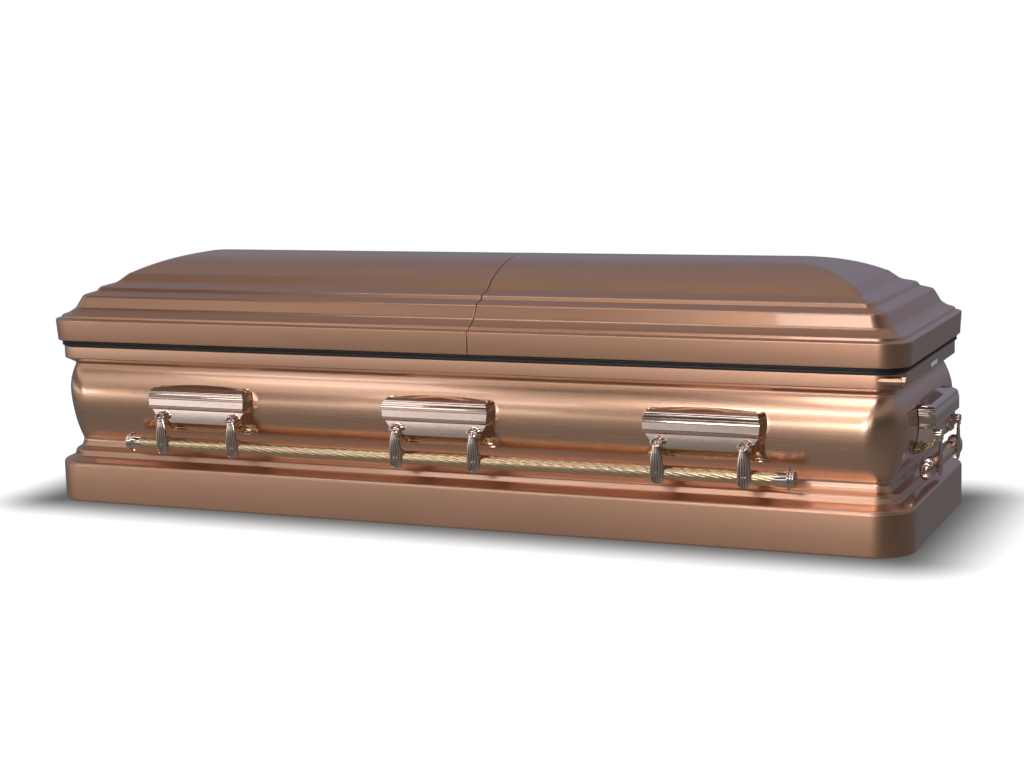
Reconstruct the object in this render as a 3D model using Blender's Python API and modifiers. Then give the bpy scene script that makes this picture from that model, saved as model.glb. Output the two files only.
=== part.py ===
"""Funeral casket: a half-couch casket of sheet metal with a moulded body, a gasketed rim, two hipped
lids hinged along the far side, and swing-bar handles on stepped lugs round all four sides.

Metres, +Z up. The origin is at the middle of the underside, +X runs to the foot end,
and the long front faces -Y. An inset is a distance inwards from the plinth's upright face.
"""
from math import cos, pi, sin, sqrt

import bmesh
import bpy
from mathutils import Matrix, Vector

# Body
LENGTH = 2.134
WIDTH = 0.656
SHEET = 0.0015
FIT = 0.0003
PLINTH_CORNER = 0.084
PLINTH_HEIGHT = 0.0885
PLINTH_ROUND = 0.012
BOTTOM_FLANGE = 0.034
PAN_THICKNESS = 0.002
SHELF_INSET = 0.0285
SHELF_RISE = 0.0205
BEAD_RISE = 0.022
BEAD_DEPTH = 0.0175
WAIST_INSET = 0.0523
WAIST_Z = 0.1495
BULGE_INSET = 0.0194
BULGE_Z = 0.2618
NECK_INSET = 0.0401
NECK_Z = 0.3283
RIM_INSET = 0.0184
RIM_BOTTOM = 0.3523
RIM_TOP = 0.384
RIM_CORNER = 0.062
RIM_LEDGE = 0.045
RIM_LIP = 0.016
CORNER_STEPS = 3

# Gasket
GASKET_INSET = 0.013
GASKET_WIDTH = 0.022
GASKET_HEIGHT = 0.0128

# Lids
FASCIA_INSET = 0.0084
FASCIA_CORNER = 0.062
FASCIA_UPRIGHT = 0.0175
FASCIA_LEAN = 0.003
FASCIA_HEIGHT = 0.0517
LID_FLANGE = 0.030
LEDGE_INSET = 0.0184
LEDGE_RISE = 0.0052
STEP_INSET = 0.0358
STEP_RISE = 0.0114
OGEE_INSET = 0.0773
OGEE_RISE = 0.0426
FILLET_INSET = 0.0911
FILLET_RISE = 0.0052
TORUS_INSET = 0.1054
TORUS_RISE = 0.0121
COVE_INSET = 0.157
COVE_RISE = 0.0258
CROWN_RISE = 0.0443
SEAM_X = 0.077
SEAM_GAP = 0.002

# Lid hinges
HINGE_LENGTH = 0.064
HINGE_LEAF = 0.002
HINGE_AXIS_INSET = 0.005
HINGE_AXIS_Z = 0.391
HINGE_BARREL = 0.0038
HINGE_PIN = 0.0018
HINGE_SIDES = 6
HINGE_BODY_LEAF = 0.027
HINGE_LID_LEAF = 0.0155
HINGE_PLACES = {"head": (-0.82, -0.20), "foot": (0.34, 0.82)}

# Memorial tube and plate
TUBE_INSET = 0.029
TUBE_Z = 0.3705
TUBE_RADIUS = 0.0092
TUBE_WALL = 0.0015
TUBE_SETBACK = 0.020
TUBE_LENGTH = 0.075
TUBE_SIDES = 12
CAP_RADIUS = 0.0112
CAP_LENGTH = 0.0115
PLATE_SIZE = (0.0008, 0.072, 0.012)
PLATE_CENTRE = (0.0145, 0.3645)

# Lugs: each level is height, how far its front stands out, and half its width in front and behind
LUG_PITCH = 0.627
LUG_SEAT = 0.0012
LUG_ARCH = 0.0045
LUG_LEVELS = (
    (0.1870, -0.0240, 0.1280, 0.1390),
    (0.2105, -0.0040, 0.1060, 0.1300),
    (0.2115, 0.0040, 0.1060, 0.1300),
    (0.2450, 0.0125, 0.1270, 0.1340),
    (0.2475, 0.0160, 0.1285, 0.1350),
    (0.2745, 0.0155, 0.1310, 0.1375),
    (0.2925, 0.0000, 0.1220, 0.1320),
    (0.2960, -0.0190, 0.1270, 0.1290),
)
LUG_COLUMNS = (-1, 0, 1)

# Hoods over the arms' heads, one piece with the lug
HOOD_RADIUS = 0.0145
HOOD_WALL = 0.0052
HOOD_LEG = 0.004
HOOD_ROOT = -0.002
HOOD_OUT = 0.0262
HOOD_STEPS = 4

# Swing arms
ARM_SPREAD = 0.097
ARM_THICKNESS = 0.005
ARM_TAPER = 0.002
ARM_TOP = 0.0062
ARM_BOTTOM_Z = 0.1365
ARM_HEAD_HALF = 0.0052
ARM_HALF = 0.014
ARM_WIDEST = 0.62
ARM_ROUND_START = 0.80
ARM_STEPS = 5
PIVOT_Z = 0.2245
TRUNNION_RADIUS = 0.0027
TRUNNION_SIDES = 6
COLLAR_SIDES = 6
COLLAR_WALL = 0.0025
COLLAR_HALF = 0.008

# Bars and tips
BAR_DIAMETER = 0.031
BAR_WALL = 0.0015
BAR_OUT = 0.003
BAR_Z = 0.159
BAR_SIDES = 10
BAR_REACH = {"front": 0.8326, "back": 0.8326, "head_end": 0.164, "foot_end": 0.164}
TIP_LENGTH = 0.044
SPIGOT_LENGTH = 0.022
TIP_STEPS = 8
# Along the tip from the bar: share of its length, half height and half depth
TIP_LEVELS = (
    (0.00, 0.0172, 0.0162),
    (0.62, 0.0172, 0.0162),
    (0.63, 0.0235, 0.0174),
    (0.70, 0.0235, 0.0174),
    (0.73, 0.0195, 0.0148),
    (0.86, 0.0190, 0.0146),
    (1.00, 0.0140, 0.0105),
)

# Worked out from the above
HALF_LENGTH = LENGTH / 2
HALF_WIDTH = WIDTH / 2
BEAD_TOP = PLINTH_HEIGHT + SHELF_RISE + BEAD_RISE
LID_BOTTOM = RIM_TOP + GASKET_HEIGHT + 3 * FIT
LEDGE_Z = LID_BOTTOM + FASCIA_HEIGHT
OGEE_TOP = LEDGE_Z + LEDGE_RISE + STEP_RISE + OGEE_RISE
COVE_TOP = OGEE_TOP + FILLET_RISE + TORUS_RISE + COVE_RISE
CROWN_Z = COVE_TOP + CROWN_RISE
BAR_RADIUS = BAR_DIAMETER / 2
ARM_BACK_OUT = BAR_OUT + BAR_RADIUS + FIT
PIVOT_OUT = ARM_BACK_OUT + ARM_THICKNESS / 2
SIDES = {"front": 0.0, "back": pi, "head_end": -pi / 2, "foot_end": pi / 2}

for thing in list(bpy.data.objects):
    bpy.data.objects.remove(thing)
casket = bpy.data.collections.new("funeral_casket")
cutters = bpy.data.collections.new("cutters")
bpy.context.scene.collection.children.link(casket)
bpy.context.scene.collection.children.link(cutters)


def finish(name, colour, metallic, roughness):
    """A painted, plated or rubber surface."""
    material = bpy.data.materials.new(name)
    material.use_nodes = True
    shader = material.node_tree.nodes["Principled BSDF"]
    shader.inputs["Base Color"].default_value = (*colour, 1)
    shader.inputs["Metallic"].default_value = metallic
    shader.inputs["Roughness"].default_value = roughness
    return material


COPPER = finish("copper_bronze", (0.62, 0.31, 0.19), 0.9, 0.38)
NICKEL = finish("rose_nickel", (0.62, 0.52, 0.48), 1.0, 0.12)
GOLD = finish("pale_gold", (0.66, 0.52, 0.33), 1.0, 0.25)
RUBBER = finish("black_rubber", (0.015, 0.015, 0.015), 0.0, 0.6)
STEEL = finish("zinc_steel", (0.45, 0.45, 0.46), 1.0, 0.45)
WHITE = finish("white_plate", (0.8, 0.8, 0.78), 0.0, 0.5)


def place(name, mesh, material, matrix=None, parent=None, collection=casket):
    """An object of its own for a mesh, smooth except at its edges."""
    piece = bpy.data.objects.new(name, mesh)
    collection.objects.link(piece)
    if not mesh.materials:
        mesh.materials.append(material)
    mesh.shade_smooth()
    mesh.set_sharp_from_angle(angle=pi / 6)
    piece.parent = parent
    piece.matrix_local = matrix or Matrix()
    return piece


def helper(name, mesh):
    """A solid that only joins or cuts another."""
    solid = place(name, mesh, STEEL, collection=cutters)
    solid.hide_render = True
    solid.display_type = "WIRE"
    return solid


def loft_mesh(name, rings, caps=False, closed=False):
    """A skin through rings of points, which run counter-clockwise round the direction of travel."""
    sculpt = bmesh.new()
    rows = [[sculpt.verts.new(point) for point in ring] for ring in rings]
    links = list(zip(rows, rows[1:] + rows[:1])) if closed else list(zip(rows, rows[1:]))
    for low, high in links:
        for i in range(len(low)):
            j = (i + 1) % len(low)
            sculpt.faces.new((low[i], low[j], high[j], high[i]))
    if caps:
        sculpt.faces.new(rows[0][::-1])
        sculpt.faces.new(rows[-1])
    bmesh.ops.remove_doubles(sculpt, verts=sculpt.verts, dist=1e-5)
    mesh = bpy.data.meshes.new(name)
    sculpt.to_mesh(mesh)
    sculpt.free()
    return mesh


def cylinder_mesh(name, radius, start, end, sides, turn):
    """A solid cylinder between two places on its axis, which turn brings from Z to its real direction."""
    sculpt = bmesh.new()
    bmesh.ops.create_cone(sculpt, cap_ends=True, segments=sides, radius1=radius, radius2=radius,
                          depth=end - start, matrix=turn @ Matrix.Translation((0, 0, (start + end) / 2)))
    mesh = bpy.data.meshes.new(name)
    sculpt.to_mesh(mesh)
    sculpt.free()
    return mesh


def box_mesh(name, size, centre):
    """A solid box about a centre."""
    sculpt = bmesh.new()
    bmesh.ops.create_cube(sculpt, matrix=Matrix.Translation(centre) @ Matrix.Diagonal((*size, 1)))
    mesh = bpy.data.meshes.new(name)
    sculpt.to_mesh(mesh)
    sculpt.free()
    return mesh


def outline_mesh(name, outline, hole, half_length):
    """A flat outline in Y and Z with one hole, extruded both ways along X."""
    curve = bpy.data.curves.new(name, "CURVE")
    curve.dimensions = "2D"
    curve.fill_mode = "BOTH"
    curve.extrude = half_length
    for path in (outline, hole):
        spline = curve.splines.new("POLY")
        spline.points.add(len(path) - 1)
        spline.use_cyclic_u = True
        for point, (y, z) in zip(spline.points, path):
            point.co = (y, z, 0, 1)
    drawn = bpy.data.objects.new(name, curve)
    cutters.objects.link(drawn)
    mesh = bpy.data.meshes.new_from_object(drawn.evaluated_get(bpy.context.evaluated_depsgraph_get()))
    bpy.data.objects.remove(drawn)
    sculpt = bmesh.new()
    sculpt.from_mesh(mesh)
    bmesh.ops.remove_doubles(sculpt, verts=sculpt.verts, dist=1e-5)
    stand = Matrix(((0, 0, 1, 0), (1, 0, 0, 0), (0, 1, 0, 0), (0, 0, 0, 1)))
    bmesh.ops.transform(sculpt, matrix=stand, verts=sculpt.verts)
    sculpt.to_mesh(mesh)
    sculpt.free()
    return mesh


def combined_mesh(name, base, joined=(), cut=()):
    """One mesh of a base joined with some solids and cut by others, which are used up."""
    body = helper(name, base)
    solids = [(helper(name, mesh), "UNION") for mesh in joined]
    solids += [(helper(name, mesh), "DIFFERENCE") for mesh in cut]
    for solid, operation in solids:
        boolean = body.modifiers.new(operation.lower(), "BOOLEAN")
        boolean.operation = operation
        boolean.object = solid
    mesh = bpy.data.meshes.new_from_object(body.evaluated_get(bpy.context.evaluated_depsgraph_get()))
    mesh.materials.clear()
    for solid in [body] + [solid for solid, operation in solids]:
        bpy.data.objects.remove(solid)
    return mesh


def thicken(piece):
    """Gives a skin its sheet thickness, on the inside."""
    sheet = piece.modifiers.new("sheet", "SOLIDIFY")
    sheet.thickness = SHEET
    sheet.offset = -1
    sheet.use_even_offset = True
    return sheet


def ring(inset, z, radius):
    """A rounded rectangle a given distance inside the plinth's faces, counter-clockwise from above."""
    reach_x = HALF_LENGTH - inset - radius
    reach_y = HALF_WIDTH - inset - radius
    points = []
    for quarter, (side_x, side_y) in enumerate(((1, 1), (-1, 1), (-1, -1), (1, -1))):
        for step in range(CORNER_STEPS + 1):
            angle = (quarter + step / CORNER_STEPS) * pi / 2
            x = side_x * reach_x + radius * cos(angle)
            y = side_y * reach_y + radius * sin(angle)
            points.append((x, y, z))
    return points


def bow(start, end, bulge, steps):
    """Points after start up to end on an arc whose middle stands bulge to the left of the way there."""
    run = Vector(end) - Vector(start)
    side = Vector((-run.y, run.x)).normalized() * bulge
    shares = [step / steps for step in range(1, steps + 1)]
    return [tuple(Vector(start) + run * share + side * 4 * share * (1 - share)) for share in shares]


def panel_inset(z):
    """How far the body's panel stands in at a height: two parabolas that meet at its widest."""
    if z < BULGE_Z:
        return BULGE_INSET + (WAIST_INSET - BULGE_INSET) * ((BULGE_Z - z) / (BULGE_Z - WAIST_Z)) ** 2
    return BULGE_INSET + (NECK_INSET - BULGE_INSET) * ((z - BULGE_Z) / (NECK_Z - BULGE_Z)) ** 2


# Body shell: plinth, shelf, bead, waist, panel, neck and rim in one welded sheet
def body_profile():
    """Inset and height from the bottom flange's inner edge to the rim's lip."""
    shelf = (SHELF_INSET, PLINTH_HEIGHT + SHELF_RISE)
    bead = (SHELF_INSET + BEAD_DEPTH, BEAD_TOP)
    waist = (WAIST_INSET, WAIST_Z)
    profile = [(BOTTOM_FLANGE, 0), (0, 0), (0, PLINTH_HEIGHT)]
    profile += bow(profile[-1], (PLINTH_ROUND, PLINTH_HEIGHT + PLINTH_ROUND), 0.0022, 2)
    profile += [shelf]
    profile += bow(shelf, bead, 0.0026, 2)
    profile += bow(bead, waist, -0.0022, 2)
    for step in range(1, 5):
        z = WAIST_Z + (BULGE_Z - WAIST_Z) * step / 4
        profile.append((panel_inset(z), z))
    for step in range(1, 4):
        z = BULGE_Z + (NECK_Z - BULGE_Z) * step / 3
        profile.append((panel_inset(z), z))
    profile += bow(profile[-1], (RIM_INSET, RIM_BOTTOM), -0.004, 2)
    profile += [(RIM_INSET, RIM_TOP), (RIM_INSET + RIM_LEDGE, RIM_TOP)]
    profile += [(RIM_INSET + RIM_LEDGE, RIM_TOP - RIM_LIP)]
    return profile


def body_corner(inset, z):
    """The plinth has a rounder corner than the panel and rim, whose corners share one centre."""
    if z <= PLINTH_HEIGHT + PLINTH_ROUND:
        return PLINTH_CORNER - inset
    return RIM_CORNER + RIM_INSET - inset


tube_place = Matrix.Translation((HALF_LENGTH - TUBE_SETBACK, -HALF_WIDTH + TUBE_INSET, TUBE_Z))
along_x = Matrix.Rotation(pi / 2, 4, "Y")
shell = place("body_shell", loft_mesh("body_shell", [ring(inset, z, body_corner(inset, z))
                                                     for inset, z in body_profile()]), COPPER)
thicken(shell)
tube_hole = helper("tube_hole", cylinder_mesh("tube_hole", TUBE_RADIUS + FIT, -TUBE_LENGTH, CAP_LENGTH,
                                              TUBE_SIDES, along_x))
tube_hole.matrix_world = tube_place
hole = shell.modifiers.new("tube_hole", "BOOLEAN")
hole.object = tube_hole

# Bottom pan: lies on the bottom flange, inside the plinth
pan_inset = SHEET + 2 * FIT
pan_rings = [ring(pan_inset, SHEET + FIT + rise, PLINTH_CORNER - pan_inset) for rise in (0, PAN_THICKNESS)]
place("bottom_pan", loft_mesh("bottom_pan", pan_rings, caps=True), STEEL)

# Gasket: a rubber frame on the rim's ledge, which the lids close on
gasket_inner = GASKET_INSET + GASKET_WIDTH
gasket_corners = [(GASKET_INSET, 0), (GASKET_INSET, GASKET_HEIGHT)]
gasket_corners += [(gasket_inner, GASKET_HEIGHT), (gasket_inner, 0)]
gasket_rings = [ring(inset, RIM_TOP + FIT + rise, RIM_CORNER + RIM_INSET - inset)
                for inset, rise in gasket_corners]
place("rim_gasket", loft_mesh("rim_gasket", gasket_rings, closed=True), RUBBER)


# Lids: one hipped form cut across at the seam, each half with a turned-in flange all round
def lid_profile():
    """Inset and height from the bottom flange's inner edge over the mouldings to the ridge."""
    ledge = (FASCIA_INSET - FASCIA_LEAN, LEDGE_Z)
    step = (LEDGE_INSET, LEDGE_Z + LEDGE_RISE)
    ogee = (STEP_INSET, step[1] + STEP_RISE)
    shoulder = (OGEE_INSET, OGEE_TOP)
    middle = ((ogee[0] + shoulder[0]) / 2, (ogee[1] + shoulder[1]) / 2)
    torus = (FILLET_INSET, OGEE_TOP + FILLET_RISE)
    cove = (TORUS_INSET, torus[1] + TORUS_RISE)
    dome = (COVE_INSET, COVE_TOP)
    profile = [(FASCIA_INSET + LID_FLANGE, LID_BOTTOM), (FASCIA_INSET, LID_BOTTOM)]
    profile += [(FASCIA_INSET, LID_BOTTOM + FASCIA_UPRIGHT), ledge, step, ogee]
    profile += bow(ogee, middle, -0.0025, 2)
    profile += bow(middle, shoulder, 0.0025, 2)
    profile += [torus]
    profile += [cove]
    profile += bow(cove, dome, -0.0045, 2)
    radius = ((HALF_WIDTH - COVE_INSET) ** 2 + (CROWN_Z - COVE_TOP) ** 2) / (2 * (CROWN_Z - COVE_TOP))
    for share in (0.33, 0.66, 1.0):
        inset = COVE_INSET + (HALF_WIDTH - COVE_INSET) * share
        profile.append((inset, CROWN_Z - radius + sqrt(radius ** 2 - (HALF_WIDTH - inset) ** 2)))
    return profile


def lid_corner(inset):
    """Corners are round at the fascia and draw in to sharp hips on the dome."""
    return FASCIA_CORNER * (1 - (inset - FASCIA_INSET) / (HALF_WIDTH - FASCIA_INSET)) ** 3


def lid_mesh(name, side):
    """The lid on one side of the seam: -1 is the head lid and 1 is the foot lid."""
    sculpt = bmesh.new()
    sculpt.from_mesh(loft_mesh(name, [ring(inset, z, lid_corner(inset)) for inset, z in lid_profile()]))
    seam = SEAM_X + side * SEAM_GAP / 2
    everything = sculpt.verts[:] + sculpt.edges[:] + sculpt.faces[:]
    bmesh.ops.bisect_plane(sculpt, geom=everything, dist=1e-6, plane_co=(seam, 0, 0), plane_no=(-side, 0, 0),
                           clear_outer=True)
    half = HALF_WIDTH - FASCIA_INSET
    height = CROWN_Z - LID_BOTTOM
    edge = [e for e in sculpt.edges if all(abs(v.co.x - seam) < 1e-5 for v in e.verts)
            and any(v.co.z > LID_BOTTOM + 1e-5 for v in e.verts)]
    turned = bmesh.ops.extrude_edge_only(sculpt, edges=edge)
    for vert in [v for v in turned["geom"] if isinstance(v, bmesh.types.BMVert)]:
        vert.co.y *= (half - LID_FLANGE) / half
        vert.co.z = LID_BOTTOM + (vert.co.z - LID_BOTTOM) * (height - LID_FLANGE) / height
    bmesh.ops.remove_doubles(sculpt, verts=sculpt.verts, dist=1e-5)
    bmesh.ops.recalc_face_normals(sculpt, faces=sculpt.faces)
    mesh = bpy.data.meshes.new(name)
    sculpt.to_mesh(mesh)
    sculpt.free()
    return mesh


axis_of_lids = Vector((0, HALF_WIDTH - HINGE_AXIS_INSET, HINGE_AXIS_Z))
lid_axes = {}
for name, side in (("head", -1), ("foot", 1)):
    lid_axes[name] = bpy.data.objects.new("lid_" + name + "_axis", None)
    casket.objects.link(lid_axes[name])
    lid_axes[name].location = axis_of_lids
    lid = place("lid_" + name, lid_mesh("lid_" + name, side), COPPER, Matrix.Translation(-axis_of_lids),
                lid_axes[name])
    thicken(lid)


# Lid hinges: on the far side, a leaf on the rim, a leaf on the fascia and a pin through both
def circle(centre, radius, sides, start=0.0, sweep=2 * pi):
    """Points round an arc, both ends included unless it is a full circle."""
    count = sides if sweep == 2 * pi else sides + 1
    angles = [start + sweep * i / sides for i in range(count)]
    return [(centre[0] + radius * cos(angle), centre[1] + radius * sin(angle)) for angle in angles]


def hinge_leaf_mesh(name, outline, gaps):
    """A leaf with its knuckles, less the gaps that the other leaf's knuckles fill."""
    bore = circle((0, 0), HINGE_PIN + FIT, HINGE_SIDES)
    leaf = outline_mesh(name, outline, bore, HINGE_LENGTH / 2)
    reach = 3 * HINGE_BARREL
    cuts = [box_mesh(name, (end - start, reach, 2 * (HINGE_BARREL + FIT)), ((start + end) / 2, cut_y, 0))
            for start, end, cut_y in gaps]
    return combined_mesh(name, leaf, cut=cuts)


rim_y = HINGE_AXIS_INSET - RIM_INSET + FIT
leaf_top = RIM_TOP - HINGE_AXIS_Z
body_leaf_outline = circle((0, 0), HINGE_BARREL, 4, -pi / 4, 5 * pi / 4) + [
    (-HINGE_BARREL, leaf_top - FIT),
    (rim_y, leaf_top - FIT),
    (rim_y, leaf_top - HINGE_BODY_LEAF),
    (rim_y + HINGE_LEAF, leaf_top - HINGE_BODY_LEAF),
    (rim_y + HINGE_LEAF, leaf_top - 2 * HINGE_BARREL),
]
fascia_y = HINGE_AXIS_INSET - FASCIA_INSET + FIT
lid_leaf_top = LID_BOTTOM - HINGE_AXIS_Z + HINGE_LID_LEAF
lid_leaf_outline = circle((0, 0), HINGE_BARREL, 4, pi, 3 * pi / 2) + [
    (fascia_y + HINGE_LEAF, HINGE_BARREL),
    (fascia_y + HINGE_LEAF, lid_leaf_top),
    (fascia_y, lid_leaf_top),
    (fascia_y, HINGE_BARREL),
]
third = HINGE_LENGTH / 6
middle_gap = [(-third - FIT, third + FIT, 0)]
outer_gaps = [(-HINGE_LENGTH, -third, 0), (third, HINGE_LENGTH, 0)]
body_leaf = hinge_leaf_mesh("hinge_body_leaf", body_leaf_outline, middle_gap)
lid_leaf = hinge_leaf_mesh("hinge_lid_leaf", lid_leaf_outline, outer_gaps)
hinge_pin = cylinder_mesh("hinge_pin", HINGE_PIN, -HINGE_LENGTH / 2, HINGE_LENGTH / 2, HINGE_SIDES, along_x)
for lid_name, places in HINGE_PLACES.items():
    for number, x in enumerate(places, 1):
        stem = "hinge_" + lid_name + "_" + str(number)
        fixed = Matrix.Translation(axis_of_lids + Vector((x, 0, 0)))
        place(stem + "_body_leaf", body_leaf, STEEL, fixed)
        place(stem + "_pin", hinge_pin, STEEL, fixed)
        place(stem + "_lid_leaf", lid_leaf, STEEL, Matrix.Translation((x, 0, 0)), lid_axes[lid_name])

# Memorial tube: comes out of the rim's front corner at the foot end, with a screwed cap
tube_mesh = combined_mesh(
    "memorial_tube",
    cylinder_mesh("memorial_tube", TUBE_RADIUS, -TUBE_LENGTH, 0, TUBE_SIDES, along_x),
    cut=[cylinder_mesh("bore", TUBE_RADIUS - TUBE_WALL, -2 * TUBE_LENGTH, TUBE_LENGTH, TUBE_SIDES, along_x)])
place("memorial_tube", tube_mesh, COPPER, tube_place)
cap_mesh = cylinder_mesh("memorial_tube_cap", CAP_RADIUS, FIT, CAP_LENGTH, 6, along_x)
place("memorial_tube_cap", cap_mesh, COPPER, tube_place)

# Blank plate: on the rim's face at the foot end
plate_centre = (HALF_LENGTH - RIM_INSET + FIT + PLATE_SIZE[0] / 2, *PLATE_CENTRE)
place("blank_plate", box_mesh("blank_plate", PLATE_SIZE, plate_centre), WHITE)


# Lugs: stepped plates that follow the panel behind, with a bored hood over each arm's head
def lug_rings():
    """Levels from the foot of the lug to its arched top, each across the back and along the front."""
    rings = []
    for z, out, half, back_half in LUG_LEVELS:
        back = panel_inset(z) - LUG_SEAT
        arch = LUG_ARCH if z == LUG_LEVELS[-1][0] else 0
        lifts = [arch if abs(column) < 1 else 0 for column in LUG_COLUMNS]
        front_row = [(column * half, -out, z + lift) for column, lift in zip(LUG_COLUMNS, lifts)]
        back_row = [(column * back_half, back, z + lift) for column, lift in zip(LUG_COLUMNS, lifts)]
        rings.append(front_row + back_row[::-1])
    return rings


def hood_mesh(centre_x):
    """An arch over an arm's head, from inside the lug out past the arm."""
    outer = circle((centre_x, PIVOT_Z), HOOD_RADIUS, HOOD_STEPS, 0, pi)
    inner = circle((centre_x, PIVOT_Z), HOOD_RADIUS - HOOD_WALL, HOOD_STEPS, pi, -pi)
    outer = [(outer[0][0], PIVOT_Z - HOOD_LEG)] + outer + [(outer[-1][0], PIVOT_Z - HOOD_LEG)]
    inner = [(inner[0][0], PIVOT_Z - HOOD_LEG)] + inner + [(inner[-1][0], PIVOT_Z - HOOD_LEG)]
    arch = outer + inner
    return loft_mesh("hood", [[(x, -out, z) for x, z in arch] for out in (HOOD_ROOT, HOOD_OUT)], caps=True)


def lug_mesh():
    """One lug with its two hoods, bored right through for the arms' trunnions."""
    pivot_line = Matrix.Translation((0, -PIVOT_OUT, PIVOT_Z)) @ along_x
    hoods = [hood_mesh(side * ARM_SPREAD) for side in (-1, 1)]
    bores = [cylinder_mesh("bore", TRUNNION_RADIUS + 2 * FIT, side * ARM_SPREAD - 2 * HOOD_RADIUS,
                           side * ARM_SPREAD + 2 * HOOD_RADIUS, TRUNNION_SIDES, pivot_line)
             for side in (-1, 1)]
    return combined_mesh("lug", loft_mesh("lug", lug_rings(), caps=True), joined=hoods, cut=bores)


# Swing arms: leaf-shaped plates with a trunnion at the head and a collar round the bar
def leaf_half(share):
    """Half the leaf's width at a share of the way from its head to its tip."""
    swell = sin(pi / 2 * min(share / ARM_WIDEST, 1)) ** 2
    width = ARM_HEAD_HALF + (ARM_HALF - ARM_HEAD_HALF) * swell
    if share > ARM_ROUND_START:
        width *= sqrt(1 - 0.8 * ((share - ARM_ROUND_START) / (1 - ARM_ROUND_START)) ** 2)
    return width


def arm_mesh():
    """One arm about its pivot, with Y pointing back to the casket."""
    top = ARM_TOP
    drop = top + PIVOT_Z - ARM_BOTTOM_Z
    back = PIVOT_OUT - ARM_BACK_OUT
    front = back - ARM_THICKNESS
    shares = [step / ARM_STEPS for step in range(ARM_STEPS + 1)]
    rings = []
    for y, trim in ((back, 0), (front, ARM_TAPER)):
        left = [(trim - leaf_half(share), y, top - trim - (drop - 2 * trim) * share) for share in shares]
        rings.append(left + [(-x, y, z) for x, y, z in left[::-1]])
    leaf = loft_mesh("arm", rings, caps=True)
    reach = HOOD_RADIUS - FIT
    trunnion = cylinder_mesh("trunnion", TRUNNION_RADIUS, -reach, reach, TRUNNION_SIDES, along_x)
    bar_line = Matrix.Translation((0, PIVOT_OUT - BAR_OUT, BAR_Z - PIVOT_Z)) @ along_x
    bore_radius = (BAR_RADIUS + 2 * FIT) / cos(pi / COLLAR_SIDES)
    collar = cylinder_mesh("collar", bore_radius + COLLAR_WALL, -COLLAR_HALF, COLLAR_HALF, COLLAR_SIDES,
                           bar_line)
    bore = cylinder_mesh("bore", bore_radius, -2 * COLLAR_HALF, 2 * COLLAR_HALF, COLLAR_SIDES, bar_line)
    return combined_mesh("arm", leaf, joined=[trunnion, combined_mesh("collar", collar, cut=[bore])])


# Bars and their stepped tips, which plug into the bars' ends
def bar_mesh(name, half_length):
    """A tube along X, open at both ends."""
    solid = cylinder_mesh(name, BAR_RADIUS, -half_length, half_length, BAR_SIDES, along_x)
    bore = cylinder_mesh(name, BAR_RADIUS - BAR_WALL, -2 * half_length, 2 * half_length, BAR_SIDES, along_x)
    return combined_mesh(name, solid, cut=[bore])


def tip_mesh():
    """A spigot and a stack of upright ovals along +X, from where the bar ends."""
    spigot = (BAR_RADIUS - BAR_WALL) * cos(pi / BAR_SIDES) - FIT
    levels = [(-SPIGOT_LENGTH, spigot, spigot), (FIT, spigot, spigot)]
    levels += [(FIT + share * TIP_LENGTH, high, deep) for share, high, deep in TIP_LEVELS]
    rings = []
    for x, high, deep in levels:
        angles = [2 * pi * step / TIP_STEPS for step in range(TIP_STEPS)]
        rings.append([(x, deep * cos(angle), high * sin(angle)) for angle in angles])
    return loft_mesh("tip", rings, caps=True)


lug = lug_mesh()
arm = arm_mesh()
tip = tip_mesh()
for side, turn in SIDES.items():
    long_side = side in ("front", "back")
    face = HALF_WIDTH if long_side else HALF_LENGTH
    centres = (-LUG_PITCH, 0, LUG_PITCH) if long_side else (0,)
    frame = Matrix.Rotation(turn, 4, "Z") @ Matrix.Translation((0, -face, 0))
    axis = bpy.data.objects.new("handle_" + side + "_axis", None)
    casket.objects.link(axis)
    axis.matrix_local = frame @ Matrix.Translation((0, -PIVOT_OUT, PIVOT_Z))
    for number, centre in enumerate(centres, 1):
        label = side + "_" + str(number) if long_side else side
        place("lug_" + label, lug, NICKEL, frame @ Matrix.Translation((centre, 0, 0)))
        for order, offset in enumerate((-ARM_SPREAD, ARM_SPREAD), 1):
            stem = "arm_" + side + "_" + str(2 * (number - 1) + order)
            place(stem, arm, NICKEL, Matrix.Translation((centre + offset, 0, 0)), axis)
    bar_place = Matrix.Translation((0, PIVOT_OUT - BAR_OUT, BAR_Z - PIVOT_Z))
    bar_half = BAR_REACH[side] - TIP_LENGTH - FIT
    place("bar_" + side, bar_mesh("bar_" + side, bar_half), GOLD, bar_place, axis)
    for end, about in (("left", pi), ("right", 0)):
        tip_place = bar_place @ Matrix.Rotation(about, 4, "Z") @ Matrix.Translation((bar_half, 0, 0))
        place("tip_" + side + "_" + end, tip, NICKEL, tip_place, axis)
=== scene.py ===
"""A funeral casket of brushed and satin copper-finished steel, with its lids, gasket and swing-bar handles,
on a plain pale floor under soft studio light.

Metres, +Z up. The origin is at the middle of the underside, +X runs to the foot end, and the long
front faces -Y. An inset is a distance inwards from the upright face of the base moulding.
"""
from math import atan2, ceil, cos, pi, radians, sin, sqrt, tan

import bmesh
import bpy
from mathutils import Matrix, Vector


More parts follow.
